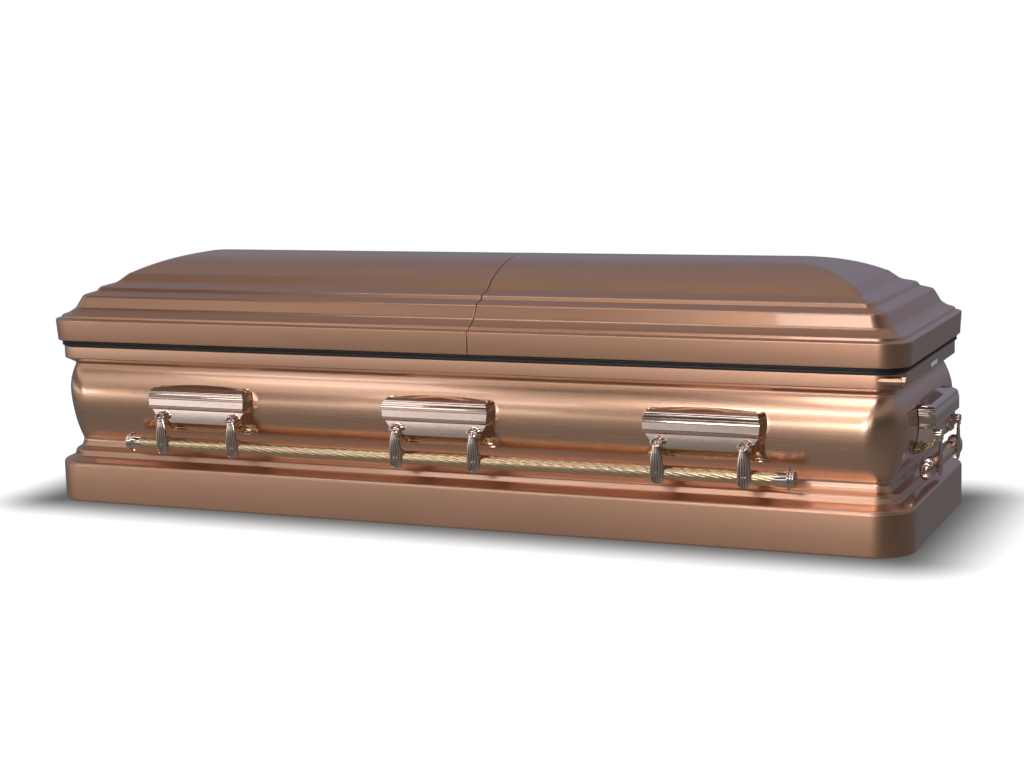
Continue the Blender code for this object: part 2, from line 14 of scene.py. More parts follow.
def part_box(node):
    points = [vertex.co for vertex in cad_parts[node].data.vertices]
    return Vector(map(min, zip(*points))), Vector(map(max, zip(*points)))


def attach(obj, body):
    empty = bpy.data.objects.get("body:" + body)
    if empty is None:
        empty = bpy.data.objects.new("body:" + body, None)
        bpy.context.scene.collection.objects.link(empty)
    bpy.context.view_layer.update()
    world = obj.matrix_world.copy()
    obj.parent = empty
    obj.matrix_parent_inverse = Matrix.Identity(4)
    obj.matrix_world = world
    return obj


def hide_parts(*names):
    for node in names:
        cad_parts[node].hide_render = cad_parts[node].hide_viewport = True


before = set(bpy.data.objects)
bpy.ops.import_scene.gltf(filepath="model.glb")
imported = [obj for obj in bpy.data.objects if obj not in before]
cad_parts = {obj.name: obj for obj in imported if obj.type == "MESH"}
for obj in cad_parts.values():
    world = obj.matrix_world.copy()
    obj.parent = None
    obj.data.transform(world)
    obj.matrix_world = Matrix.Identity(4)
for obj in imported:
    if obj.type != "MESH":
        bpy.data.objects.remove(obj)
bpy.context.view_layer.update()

# Camera: stands beyond the foot end, in front and a little above the lids, with a long lens
# turned slightly down, so that the whole front and a sliver of the foot end show.
CAMERA_PLACE = Vector((1.9120, -4.2634, 1.0045))
CAMERA_YAW = -0.4129
CAMERA_PITCH = -0.1540
CAMERA_ROLL = -0.0267
CAMERA_LENS = 69.14
CAMERA_FAR = 200


def new_object(name, data):
    """A new object in the scene, at the origin."""
    made = bpy.data.objects.new(name, data)
    bpy.context.scene.collection.objects.link(made)
    return made


forward = Vector((sin(CAMERA_YAW) * cos(CAMERA_PITCH), cos(CAMERA_YAW) * cos(CAMERA_PITCH),
                  sin(CAMERA_PITCH)))
level = Vector((cos(CAMERA_YAW), -sin(CAMERA_YAW), 0))
upright = level.cross(forward)
right = cos(CAMERA_ROLL) * level + sin(CAMERA_ROLL) * upright
above = cos(CAMERA_ROLL) * upright - sin(CAMERA_ROLL) * level
lens = bpy.data.cameras.new("camera")
lens.lens = CAMERA_LENS
lens.clip_end = CAMERA_FAR
camera = new_object("camera", lens)
turn = Matrix((right, above, -forward)).transposed().to_4x4()
camera.matrix_world = Matrix.Translation(CAMERA_PLACE) @ turn
bpy.context.scene.camera = camera
bpy.context.scene.view_settings.view_transform = "Standard"

# Studio: a pale floor that glows to show white, with a painted contact shadow that darkens its paint and glow
# round the casket's foot, in a surround of nearly neutral light, with one ramp by height for what is behind and
# one for each side of the front.
FLOOR_RADIUS = 4
FLOOR_SIDES = 96
FLOOR_SOLID = 1.5
FLOOR_FADE = 2.2
FLOOR_PAINT = (0.85, 0.86, 0.86)
FLOOR_GLOW = 0.95
STAND = (1.045, 0.306)
SHADE_REACH = 0.26
SHADE_DEEPEST = 0.12
ACROSS_RATE = 2.2
ACROSS_START = 1.1
BACK_RATE = 1.4


class Wire:
    """A value on its way through a material. Sums with it add Math nodes, and node() adds any other."""

    def __init__(self, tree, socket=None):
        self.tree = tree
        self.socket = socket

    def node(self, kind, settings, sockets, output=0):
        made = self.tree.nodes.new(kind)
        for name, value in settings.items():
            if name == "stops":
                ramp = made.color_ramp
                while len(ramp.elements) < len(value):
                    ramp.elements.new(0.5)
                for stop, (place, colour) in zip(ramp.elements, value):
                    stop.position = place
                    stop.color = (*colour, 1)
            else:
                setattr(made, name, value)
        for key, value in sockets.items():
            if isinstance(value, Wire):
                self.tree.links.new(value.socket, made.inputs[key])
            else:
                made.inputs[key].default_value = value
        return Wire(self.tree, made.outputs[output])

    def sum(self, operation, *values):
        return self.node("ShaderNodeMath", {"operation": operation}, dict(enumerate(values)))

    def clamped(self):
        return self.node("ShaderNodeClamp", {}, {"Value": self})

    def vector(self, operation, *others, output=0):
        sockets = dict(enumerate((self, *others)))
        return self.node("ShaderNodeVectorMath", {"operation": operation}, sockets, output)

    def __add__(self, other):
        return self.sum("ADD", self, other)

    __radd__ = __add__

    def __sub__(self, other):
        return self.sum("SUBTRACT", self, other)

    def __rsub__(self, other):
        return self.sum("SUBTRACT", other, self)

    def __mul__(self, other):
        return self.sum("MULTIPLY", self, other)

    __rmul__ = __mul__


def blank_finish(name, **constants):
    """A new material, its shader with the values that are the same all over, and a wire to start from."""
    finish = bpy.data.materials.new(name)
    finish.use_nodes = True
    surface = finish.node_tree.nodes["Principled BSDF"]
    for socket, value in constants.items():
        surface.inputs[socket.replace("_", " ")].default_value = value
    return finish, surface, Wire(finish.node_tree)


def join(wire, surface, socket):
    """Brings a wire to one socket of a shader."""
    wire.tree.links.new(wire.socket, surface.inputs[socket])


def blend(share, one, other):
    """A colour between two, each a wire or a plain colour, by a share from 0 to 1."""
    ends = [end if isinstance(end, Wire) else (*end, 1) for end in (one, other)]
    return share.node("ShaderNodeMix", {"data_type": "RGBA"}, {0: share, 6: ends[0], 7: ends[1]}, 2)


floor_sculpt = bmesh.new()
bmesh.ops.create_circle(floor_sculpt, cap_ends=True, segments=FLOOR_SIDES, radius=FLOOR_RADIUS)
floor_mesh = bpy.data.meshes.new("studio_floor")
floor_sculpt.to_mesh(floor_mesh)
floor_sculpt.free()
floor = new_object("studio_floor", floor_mesh)
floor_paint, floor_surface, floor_start = blank_finish("floor_paint", Roughness=0.9, Specular_IOR_Level=0.1,
                                                       Emission_Strength=FLOOR_GLOW)
floor_place = floor_start.node("ShaderNodeTexCoord", {}, {}, "Object")
floor_reach = floor_place.vector("LENGTH", output="Value")
join(((FLOOR_SOLID + FLOOR_FADE - floor_reach) * (1 / FLOOR_FADE)).clamped(), floor_surface, "Alpha")
# Painted shadow: the floor's colour and glow fall smoothly towards SHADE_DEEPEST near the casket's footprint,
# standing in for its contact shadow.
beyond = floor_place.vector("ABSOLUTE").vector("SUBTRACT", (*STAND, 0)).vector("MAXIMUM", (0, 0, 0))
beyond = beyond.vector("LENGTH", output="Value")
painted_shadow_ramp = beyond.node("ShaderNodeMapRange", {"interpolation_type": "SMOOTHSTEP"},
                  {"Value": beyond, "From Max": SHADE_REACH, "To Min": SHADE_DEEPEST, "To Max": 1.0})
paint = blend(painted_shadow_ramp, (0, 0, 0), FLOOR_PAINT)
join(paint, floor_surface, "Base Color")
join(paint, floor_surface, "Emission Color")
floor_mesh.materials.append(floor_paint)
floor.visible_glossy = False
floor.visible_shadow = False

surround = bpy.data.worlds.new("surround")
surround.use_nodes = True
bpy.context.scene.world = surround
sky = Wire(surround.node_tree)
where = sky.node("ShaderNodeTexCoord", {}, {}, "Generated")
split = where.node("ShaderNodeSeparateXYZ", {}, {"Vector": where})
sideways, depth, height = (Wire(sky.tree, split.socket.node.outputs[axis]) for axis in "XYZ")
BACK_STOPS = (
    (0.00, (0.13, 0.13, 0.13)), (0.46, (0.13, 0.13, 0.14)), (0.54, (0.20, 0.20, 0.24)),
    (0.62, (0.23, 0.24, 0.32)), (0.70, (0.27, 0.29, 0.37)), (0.80, (0.24, 0.24, 0.27)),
    (0.90, (0.38, 0.34, 0.33)), (0.96, (0.40, 0.36, 0.34)), (1.00, (0.34, 0.33, 0.32)),
)
LEFT_STOPS = (
    (0.00, (0.24, 0.24, 0.23)), (0.22, (0.20, 0.20, 0.19)), (0.33, (0.17, 0.17, 0.16)),
    (0.40, (0.20, 0.20, 0.19)), (0.43, (0.45, 0.44, 0.43)), (0.46, (1.50, 1.47, 1.42)),
    (0.49, (1.50, 1.47, 1.42)), (0.51, (0.03, 0.03, 0.03)), (0.61, (0.05, 0.05, 0.05)),
    (0.69, (0.85, 0.83, 0.81)), (0.75, (0.70, 0.69, 0.66)), (0.81, (0.20, 0.20, 0.19)),
    (0.86, (0.03, 0.03, 0.03)), (0.95, (0.04, 0.04, 0.04)), (1.00, (0.30, 0.29, 0.28)),
)
RIGHT_STOPS = (
    (0.00, (0.22, 0.22, 0.21)), (0.22, (0.18, 0.18, 0.17)), (0.33, (0.13, 0.13, 0.12)),
    (0.42, (0.12, 0.12, 0.11)), (0.50, (0.03, 0.03, 0.03)), (0.60, (0.08, 0.08, 0.08)),
    (0.68, (0.50, 0.49, 0.47)), (0.74, (0.36, 0.35, 0.34)), (0.80, (0.06, 0.06, 0.06)),
    (0.86, (0.02, 0.02, 0.02)), (0.95, (0.03, 0.03, 0.03)), (1.00, (0.25, 0.24, 0.24)),
)
elevation = height * 0.5 + 0.5
back, left, right_side = (elevation.node("ShaderNodeValToRGB", {"stops": stops}, {"Fac": elevation})
                          for stops in (BACK_STOPS, LEFT_STOPS, RIGHT_STOPS))
front = blend((sideways * ACROSS_RATE + ACROSS_START).clamped(), left, right_side)
around = blend((depth * BACK_RATE + 0.5).clamped(), front, back)
shown = blend(sky.node("ShaderNodeLightPath", {}, {}, "Is Camera Ray"), around, (1, 1, 1))
join(shown, surround.node_tree.nodes["Background"], "Color")

# Lamps: ten soft boxes in front of the casket and over it. Each row has a box's place, its width and
# height, its power in watts and its tilt about X, which faces it ahead or down.
LAMP_COLOUR = (1.0, 0.985, 0.97)
AHEAD = pi / 2
DOWN = 0
SOFT_BOXES = {
    "low_box": ((0.5, -4.6, 0.45), 0.60, 0.66, 21, AHEAD),
    "low_fill": ((-0.2, -4.6, 0.45), 0.70, 0.66, 5.5, AHEAD),
    "high_box": ((-0.3, -4.6, 2.55), 1.60, 0.50, 19, AHEAD),
    "overhead_box": ((-0.2, -1.0, 3.2), 3.20, 0.40, 11, DOWN),
    "right_fill_box": ((1.35, -4.6, 0.8), 1.00, 1.40, 6.5, AHEAD),
    "left_low_box": ((-2.0, -4.6, 0.45), 1.10, 0.66, 3.4, AHEAD),
    "left_high_box": ((-2.0, -4.6, 1.85), 1.10, 0.66, 4.5, AHEAD),
    "far_left_box": ((-4.6, -4.6, 0.45), 1.30, 0.66, 12, AHEAD),
    "ceiling_box": ((0.4, -2.9, 3.2), 1.20, 1.30, 22, DOWN),
    "ceiling_left_box": ((-2.6, -3.5, 3.2), 1.40, 1.30, 14, DOWN),
}
for name, (place, width, tall, power, tilt) in SOFT_BOXES.items():
    lamp = bpy.data.lights.new(name, "AREA")
    lamp.shape = "RECTANGLE"
    lamp.size = width
    lamp.size_y = tall
    lamp.energy = power
    lamp.color = LAMP_COLOUR
    box = new_object(name, lamp)
    box.location = place
    box.rotation_euler = (tilt, 0, 0)
    box.visible_camera = False

# Body shell: the sides, ends, base moulding and rim are one welded and finished sheet-steel form.
# The panel between the bead and the rim is brushed copper under lacquer; the mouldings are satin.
LENGTH = 2.134
WIDTH = 0.656
HALF_LENGTH = LENGTH / 2
HALF_WIDTH = WIDTH / 2
SHEET = 0.0015
CORNER_STEPS = 14
CORNER_BESIDE = 0.005
PLINTH_CORNER = 0.084
PLINTH_SHOULDER = 0.1005
RIM_INSET = 0.0184
RIM_WIDTH = 0.045
RIM_CORNER = 0.062
RIM_TOP = 0.384
PANEL_BULGE = (0.0194, 0.2618)
PANEL_WAIST = (0.0523, 0.1495)
PANEL_NECK = (0.0401, 0.3283)
PANEL_RISE = PANEL_NECK[1] - PANEL_WAIST[1]
PANEL_STEPS = 30
PANEL_ROUNDER = 0.022
COPPER = (0.68, 0.39, 0.268)
COPPER_DEEP = (0.58, 0.315, 0.208)
BRUSHED = (0.76, 0.465, 0.32)
UNDERCOAT = (0.16, 0.13, 0.115)
ARC_STEP = radians(7)
CORNER_SHARE = 0.3
LACQUERED = {"Metallic": 1.0, "Coat_Weight": 1.0, "Coat_Roughness": 0.04, "Coat_IOR": 1.5}
WELD = 1e-5
NO_LENGTH = 1e-6


def noise(start, stretch, detail=3.0, roughness=0.55):
    """Noise over the object's own coordinates, stretched differently along each of them."""
    place = start.node("ShaderNodeTexCoord", {}, {}, "Object")
    mapped = start.node("ShaderNodeMapping", {}, {"Vector": place, "Scale": stretch})
    return start.node("ShaderNodeTexNoise", {}, {"Vector": mapped, "Scale": 1.0, "Detail": detail,
                                                 "Roughness": roughness})


def roughen(surface, height, strength, distance):
    """Bumps a shader's surface by a height."""
    bump = height.node("ShaderNodeBump", {}, {"Strength": strength, "Distance": distance, "Height": height})
    join(bump, surface, "Normal")


def satin_finish():
    """Satin copper enamel: fine metal flake under a clear coat, with a very slight cloudiness."""
    finish, surface, start = blank_finish("satin_copper", **LACQUERED)
    flake = noise(start, (1500, 1500, 1500), 2.0)
    cloud = noise(start, (3, 5, 9))
    join(blend((flake * 0.5 + cloud * 0.5 - 0.25).clamped(), COPPER_DEEP, COPPER), surface, "Base Color")
    join(flake * 0.06 + cloud * 0.06 + 0.28, surface, "Roughness")
    roughen(surface, flake, 0.05, 0.0002)
    return finish


def brushed_finish():
    """Copper brushed along the casket and lacquered: streaks that run level round the body."""
    finish, surface, start = blank_finish("brushed_copper", Anisotropic=0.55, Anisotropic_Rotation=0.25,
                                          **LACQUERED)
    streak = noise(start, (6, 6, 1400), 4.0, 0.7)
    band = noise(start, (1.2, 1.2, 160), 3.0, 0.6)
    join(blend((streak * 0.6 + band * 0.6 - 0.1).clamped(), COPPER, BRUSHED), surface, "Base Color")
    join(streak * 0.10 + band * 0.05 + 0.18, surface, "Roughness")
    roughen(surface, streak, 0.04, 0.0002)
    return finish


def mottled_finish(name, stretch, detail, colours, smoothest, rougher, **constants):
    """A finish in which one noise drives both the colour, between two, and the roughness."""
    finish, surface, start = blank_finish(name, **constants)
    mottle = noise(start, stretch, detail)
    join(blend(mottle, *colours), surface, "Base Color")
    join(mottle * rougher + smoothest, surface, "Roughness")
    return finish


SATIN = satin_finish()
BRUSH = brushed_finish()
INSIDE = mottled_finish("undercoat", (40, 40, 40), 4.0, (UNDERCOAT, [value * 1.3 for value in UNDERCOAT]),
                        0.55, 0.15, Metallic=0.2)


def eased(corners):
    """Points along a line of (inset, height, radius) corners, each rounded on an arc of its radius."""
    points = [corners[0][:2]]
    for before, here, after in zip(corners, corners[1:], corners[2:]):
        corner = Vector(here[:2])
        back_way = Vector(before[:2]) - corner
        on_way = Vector(after[:2]) - corner
        half = back_way.angle(on_way) / 2
        reach = min(here[2] / tan(half), back_way.length * 0.5, on_way.length * 0.5)
        if reach < NO_LENGTH:
            points.append(here[:2])
            continue
        radius = reach * tan(half)
        centre = corner + (back_way.normalized() + on_way.normalized()).normalized() * radius / sin(half)
        first = corner + back_way.normalized() * reach - centre
        last = corner + on_way.normalized() * reach - centre
        sweep = first.angle_signed(last)
        steps = max(2, ceil(abs(sweep) / ARC_STEP))
        start = atan2(first.y, first.x)
        for step in range(steps + 1):
            angle = start - sweep * step / steps
            points.append((centre.x + radius * cos(angle), centre.y + radius * sin(angle)))
    points.append(corners[-1][:2])
    return points


def ring(inset, z, radius):
    """A rounded rectangle a given distance inside the base moulding's faces, counter-clockwise. A
    point beside each end of a corner keeps the straight runs flat where they are shaded smooth."""
    reach_x = HALF_LENGTH - inset - radius
    reach_y = HALF_WIDTH - inset - radius
    arcs = []
    for quarter, (side_x, side_y) in enumerate(((1, 1), (-1, 1), (-1, -1), (1, -1))):
        arc = []
        for step in range(CORNER_STEPS + 1):
            angle = (quarter + step / CORNER_STEPS) * pi / 2
            x = side_x * reach_x + radius * cos(angle)
            y = side_y * reach_y + radius * sin(angle)
            arc.append(Vector((x, y, z)))
        arcs.append(arc)
    points = []
    for arc, following in zip(arcs, arcs[1:] + arcs[:1]):
        run = following[0] - arc[-1]
        beside = run * min(CORNER_BESIDE / max(run.length, NO_LENGTH), CORNER_SHARE)
        points += arc + [arc[-1] + beside, following[0] - beside]
    return points


def add_skin(sculpt, rows, capped=False):
    """Joins rows of points that run round into a skin, and returns its faces row by row."""
    levels = []
    for low, high in zip(rows, rows[1:]):
        pairs = [(i, (i + 1) % len(low)) for i in range(len(low))]
        levels.append([sculpt.faces.new((low[i], low[j], high[j], high[i])) for i, j in pairs])
    if capped:
        sculpt.faces.new(rows[0][::-1])
        sculpt.faces.new(rows[-1])
    return levels


def loft(rings, closed=False):
    """A skin through rings of points, as a bmesh. Each face knows which gap between rings it is in."""
    sculpt = bmesh.new()
    level_of = sculpt.faces.layers.int.new("level")
    rows = [[sculpt.verts.new(point) for point in row] for row in rings]
    for level_number, faces in enumerate(add_skin(sculpt, rows + rows[:1] if closed else rows)):
        for face in faces:
            face[level_of] = level_number
    bmesh.ops.remove_doubles(sculpt, verts=sculpt.verts, dist=WELD)
    return sculpt


def to_mesh(sculpt):
    """The mesh of a finished bmesh, its faces turned outwards."""
    bmesh.ops.recalc_face_normals(sculpt, faces=sculpt.faces)
    mesh = bpy.data.meshes.new("form")
    sculpt.to_mesh(mesh)
    sculpt.free()
    return mesh


def keep(name, mesh, body, node, finishes, angle=radians(35)):
    """Puts a finished piece on its body in place of its CAD node."""
    mesh.name = name
    piece = new_object(name, mesh)
    for finish in finishes:
        if finish.name not in mesh.materials:
            mesh.materials.append(finish)
    mesh.shade_smooth()
    mesh.set_sharp_from_angle(angle=angle)
    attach(piece, body)
    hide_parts(node)
    return piece


def thicken(piece):
    """Gives a skin its sheet thickness on the inside, which has the undercoat."""
    sheet = piece.modifiers.new("sheet", "SOLIDIFY")
    sheet.thickness = SHEET
    sheet.offset = -1
    sheet.material_offset = len(piece.data.materials) - 1


def panel_inset(z):
    """How far in the bulging panel is at a height: two parabolas that meet where it is widest."""
    end = PANEL_WAIST if z < PANEL_BULGE[1] else PANEL_NECK
    share = (z - PANEL_BULGE[1]) / (end[1] - PANEL_BULGE[1])
    return PANEL_BULGE[0] + (end[0] - PANEL_BULGE[0]) * share ** 2


def body_corner(inset, z):
    """A corner's radius: larger on the base moulding than on the rim, and larger again up the panel."""
    up = min(max((z - PANEL_WAIST[1]) / PANEL_RISE, 0), 1)
    outermost = PLINTH_CORNER if z <= PLINTH_SHOULDER else RIM_CORNER + RIM_INSET
    return outermost - inset + PANEL_ROUNDER * sin(pi * up)


base_mould = eased([
    (0.034, 0.0, 0),
    (0.0, 0.0, 0.0040),
    (0.0, 0.0970, 0.0110),
    (0.0285, 0.1085, 0.0050),
    (0.0330, 0.1235, 0.0100),
    (0.0470, 0.1310, 0.0035),
    (0.0520, 0.1430, 0.0150),
    PANEL_WAIST + (0,),
])
rim_mould = eased([
    PANEL_NECK + (0,),
    (0.0455, 0.3400, 0.0110),
    (0.0330, 0.3460, 0.0060),
    (RIM_INSET, 0.3535, 0.0030),
    (RIM_INSET, RIM_TOP, 0.0030),
    (RIM_INSET + RIM_WIDTH, RIM_TOP, 0.0020),
    (RIM_INSET + RIM_WIDTH, 0.368, 0),
])
panel_line = []
for step in range(PANEL_STEPS + 1):
    z = PANEL_WAIST[1] + PANEL_RISE * step / PANEL_STEPS
    panel_line.append((panel_inset(z), z))
body_line = base_mould[:-1] + panel_line + rim_mould[1:]
panel_start = len(base_mould) - 2
panel_end = panel_start + PANEL_STEPS
shell_sculpt = loft([ring(inset, z, body_corner(inset, z)) for inset, z in body_line])
level_layer = shell_sculpt.faces.layers.int["level"]
for face in shell_sculpt.faces:
    face.material_index = 1 if panel_start <= face[level_layer] <= panel_end else 0
shell = keep("casket_shell", to_mesh(shell_sculpt), "casket_body", "body_shell",
             [SATIN, BRUSH, INSIDE])
thicken(shell)

# Gasket: a two-lipped frame of black rubber, moulded in one piece and laid on the rim, which the
# lids press when they close.
GASKET_INSET = 0.013
GASKET_WIDTH = 0.022
GASKET_HEIGHT = 0.0128
GASKET_LIFT = 0.0003
GASKET_LINE = (
    (GASKET_WIDTH, GASKET_HEIGHT),
    (0.0026, GASKET_HEIGHT),
    (0.0008, 0.0118),
    (0.0000, 0.0098),
    (0.0010, 0.0078),
    (0.0036, 0.0070),
    (0.0036, 0.0062),
    (0.0012, 0.0052),
    (0.0004, 0.0030),
    (0.0012, 0.0010),
    (0.0030, 0.0),
    (GASKET_WIDTH, 0.0),
)
rubber = mottled_finish("gasket_rubber", (60, 60, 200), 3.0, ((0.006, 0.006, 0.007), (0.016, 0.015, 0.017)),
                        0.34, 0.15, Specular_IOR_Level=0.5)
gasket_rings = []
for inwards, rise in GASKET_LINE:
    inset = GASKET_INSET + inwards
    gasket_rings.append(ring(inset, RIM_TOP + GASKET_LIFT + rise, RIM_CORNER + RIM_INSET - inset))
keep("rim_gasket_rubber", to_mesh(loft(gasket_rings, closed=True)), "casket_body", "rim_gasket",
     [rubber])

# Lids: one hipped form of pressed sheet, cut across at the seam into a long head lid and a shorter
# foot lid. Each has a turned-in flange all round, and closes on the gasket.
LID_BOTTOM = 0.3977
LID_FLANGE = 0.030
FASCIA_INSET = 0.0084
FASCIA_CORNER = 0.062
DOME_INSET = 0.157
DOME_Z = 0.5528
CROWN_Z = 0.596
DOME_STEPS = 26
HIP_EASE = 0.22
SEAM_X = 0.077
SEAM_GAP = 0.002
SEAM_EDGE = 0.0007
SEAM_BESIDE = 0.003
lid_mould = eased([
    (FASCIA_INSET + LID_FLANGE, LID_BOTTOM, 0),
    (FASCIA_INSET, LID_BOTTOM, 0.0022),
    (0.0054, 0.4497, 0.0028),
    (0.0172, 0.4530, 0.0014),
    (0.0202, 0.4590, 0.0030),
    (0.0330, 0.4635, 0.0080),
    (0.0475, 0.4738, 0.0200),
    (0.0635, 0.5042, 0.0120),
    (0.0905, 0.5128, 0.0018),
    (0.0970, 0.5222, 0.0090),
    (0.1290, 0.5310, 0.0300),
    (0.1530, 0.5515, 0.0010),
    (DOME_INSET, DOME_Z, 0),
])
dome_radius = ((HALF_WIDTH - DOME_INSET) ** 2 + (CROWN_Z - DOME_Z) ** 2) / (2 * (CROWN_Z - DOME_Z))
dome_line = []
for step in range(1, DOME_STEPS + 1):
    inset = DOME_INSET + (HALF_WIDTH - DOME_INSET) * step / DOME_STEPS
    dome_line.append((inset, CROWN_Z - dome_radius + sqrt(dome_radius ** 2 - (HALF_WIDTH - inset) ** 2)))


def lid_corner(inset):
    """Corners are round at the fascia, tight at the dome's foot, and ease again up its hips."""
    tight = FASCIA_CORNER * (1 - (inset - FASCIA_INSET) / (HALF_WIDTH - FASCIA_INSET)) ** 3
    return min(tight + max(inset - DOME_INSET, 0) * HIP_EASE, HALF_WIDTH - inset)


def cut(sculpt, x, facing, clear):
    """Cuts a bmesh across at a place along X, and clears what is beyond the cut if asked."""
    everything = sculpt.verts[:] + sculpt.edges[:] + sculpt.faces[:]
    bmesh.ops.bisect_plane(sculpt, geom=everything, dist=NO_LENGTH, plane_co=(x, 0, 0), plane_no=(facing, 0, 0),
                           clear_outer=clear)


def seam_edges(sculpt, seam):
    """The edges that lie in a lid's seam, apart from those along its open bottom."""
    return [edge for edge in sculpt.edges if all(abs(vert.co.x - seam) < WELD for vert in edge.verts)
            and any(vert.co.z > LID_BOTTOM + WELD for vert in edge.verts)]


def lid_skin(side):
    """The lid on one side of the seam: -1 is the head lid and 1 is the foot lid."""
    sculpt = loft([ring(inset, z, lid_corner(inset)) for inset, z in lid_mould + dome_line])
    seam = SEAM_X + side * SEAM_GAP / 2
    cut(sculpt, seam, -side, True)
    cut(sculpt, seam + side * SEAM_BESIDE, side, False)
    half = HALF_WIDTH - FASCIA_INSET
    tall = CROWN_Z - LID_BOTTOM
    turned_in = bmesh.ops.extrude_edge_only(sculpt, edges=seam_edges(sculpt, seam))
    for vert in [item for item in turned_in["geom"] if isinstance(item, bmesh.types.BMVert)]:
        vert.co.y *= (half - LID_FLANGE) / half
        vert.co.z = LID_BOTTOM + (vert.co.z - LID_BOTTOM) * (tall - LID_FLANGE) / tall
    bmesh.ops.remove_doubles(sculpt, verts=sculpt.verts, dist=WELD)
    edges = [edge for edge in seam_edges(sculpt, seam)
             if edge.is_manifold and any(abs(face.normal.x) < 0.5 for face in edge.link_faces)]
    bmesh.ops.bevel(sculpt, geom=edges, offset=SEAM_EDGE, segments=2, profile=0.5, affect="EDGES")
    return to_mesh(sculpt)


for part, side in (("head", -1), ("foot", 1)):
    body = "lid_" + part
    thicken(keep(part + "_lid_shell", lid_skin(side), body, body, [SATIN, INSIDE]))

# Lid hinges: plain zinc-plated leaf hinges along the far side, a leaf on the rim, a leaf on the
# fascia and a pin through the knuckles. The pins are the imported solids.
HINGE_LENGTH = 0.064
HINGE_INSET = 0.005
HINGE_AXIS = Vector((0, HALF_WIDTH - HINGE_INSET, 0.391))
HINGE_BARREL = 0.0038
HINGE_BORE = 0.0021
HINGE_PLAY = 0.0003
HINGE_PLACES = {"head": (-0.82, -0.20), "foot": (0.34, 0.82)}
KNUCKLE_SIDES = 28
LEAF_THICK = 0.002
RIM_LEAF_FOOT = -0.034
FASCIA_LEAF_TOP = 0.0222
SCREW_PLACES = (-0.023, 0, 0.023)
SCREW_LINE = ((0, 0.0029), (0.0005, 0.0029), (0.0010, 0.0021), (0.0013, 0.0008))
SCREW_SIDES = 16
SCREW_SEAT = 0.0018
RIM_SCREWS_Z = -0.0243
FASCIA_SCREWS_Z = 0.0140
ZINC = mottled_finish("zinc_plate", (220, 220, 220), 4.0, ((0.36, 0.37, 0.38), (0.52, 0.53, 0.54)), 0.26, 0.22,
                      Metallic=1.0)


def add_turned(sculpt, line, sides, matrix, bored=False):
    """Adds a line of (along, radius) points spun about X: capped, or joined end to end as a tube."""
    angles = [2 * pi * side / sides for side in range(sides)]
    rows = [[sculpt.verts.new(matrix @ Vector((along, radius * cos(angle), radius * sin(angle))))
             for angle in angles] for along, radius in line]
    add_skin(sculpt, rows + rows[:1] if bored else rows, capped=not bored)


def hinge_leaf(place, knuckles, webs, leaf_y, screws_z):
    """A leaf with its knuckles, the webs that join them, and three round screw heads, in its place."""
    sculpt = bmesh.new()
    for start, end in knuckles:
        line = ((start, HINGE_BORE), (start, HINGE_BARREL), (end, HINGE_BARREL), (end, HINGE_BORE))
        add_turned(sculpt, line, KNUCKLE_SIDES, Matrix(), bored=True)
    for start, end, outline in webs:
        rows = [[sculpt.verts.new((x, y, z)) for y, z in outline] for x in (start, end)]
        add_skin(sculpt, rows, capped=True)
    for x in SCREW_PLACES:
        dome = Matrix.Translation((x, leaf_y + SCREW_SEAT, screws_z)) @ Matrix.Rotation(pi / 2, 4, "Z")
        add_turned(sculpt, SCREW_LINE, SCREW_SIDES, dome)
    bmesh.ops.transform(sculpt, matrix=Matrix.Translation(place), verts=sculpt.verts)
    return to_mesh(sculpt)


def finish_solid(node, finish):
    """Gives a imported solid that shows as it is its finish."""
    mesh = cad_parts[node].data
    mesh.materials.clear()
    mesh.materials.append(finish)


half_third = HINGE_LENGTH / 6
rim_face = HINGE_INSET - RIM_INSET + HINGE_PLAY
rim_outside = rim_face + LEAF_THICK
fascia_face = HINGE_INSET - FASCIA_INSET + HINGE_PLAY
fascia_outside = fascia_face + LEAF_THICK
rim_flat = [(rim_face, -0.0073), (rim_face, RIM_LEAF_FOOT), (rim_outside, RIM_LEAF_FOOT),
            (rim_outside, -0.0146)]
rim_web = [(-0.0036, -0.0012), (-0.0037, -0.0073)] + rim_flat + [(0.0026, -0.0028)]
rim_plate = [(-0.0026, -0.0073)] + rim_flat
fascia_flat = [(fascia_face, FASCIA_LEAF_TOP), (fascia_outside, FASCIA_LEAF_TOP)]
fascia_web = [(fascia_face, 0.0022)] + fascia_flat + [(fascia_outside, 0.0034)]
fascia_plate = [(fascia_face, 0.0041)] + fascia_flat + [(fascia_outside, 0.0041)]
outer_ends = [(-HINGE_LENGTH / 2, -half_third - HINGE_PLAY), (half_third + HINGE_PLAY, HINGE_LENGTH / 2)]
rim_webs = [(*outer_ends[0], rim_web), (-half_third - HINGE_PLAY, half_third + HINGE_PLAY, rim_plate),
            (*outer_ends[1], rim_web)]
fascia_webs = [(-HINGE_LENGTH / 2, HINGE_LENGTH / 2, fascia_plate), (-half_third, half_third, fascia_web)]
for part, places in HINGE_PLACES.items():
    for number, x in enumerate(places, 1):
        stem = "hinge_" + part + "_" + str(number)
        place = HINGE_AXIS + Vector((x, 0, 0))
        rim_leaf = hinge_leaf(place, outer_ends, rim_webs, rim_face, RIM_SCREWS_Z)
        keep(stem + "_rim_leaf", rim_leaf, "casket_body", stem + "_body_leaf", [ZINC])
        fascia_leaf = hinge_leaf(place, [(-half_third, half_third)], fascia_webs, fascia_face, FASCIA_SCREWS_Z)
        keep(stem + "_fascia_leaf", fascia_leaf, "lid_" + part, stem + "_lid_leaf", [ZINC])
        finish_solid(stem + "_pin", ZINC)

# Bottom pan: the plain sheet floor that lies inside the base. It is zinc-plated steel, and the
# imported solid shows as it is, with its finish.
finish_solid("bottom_pan", ZINC)

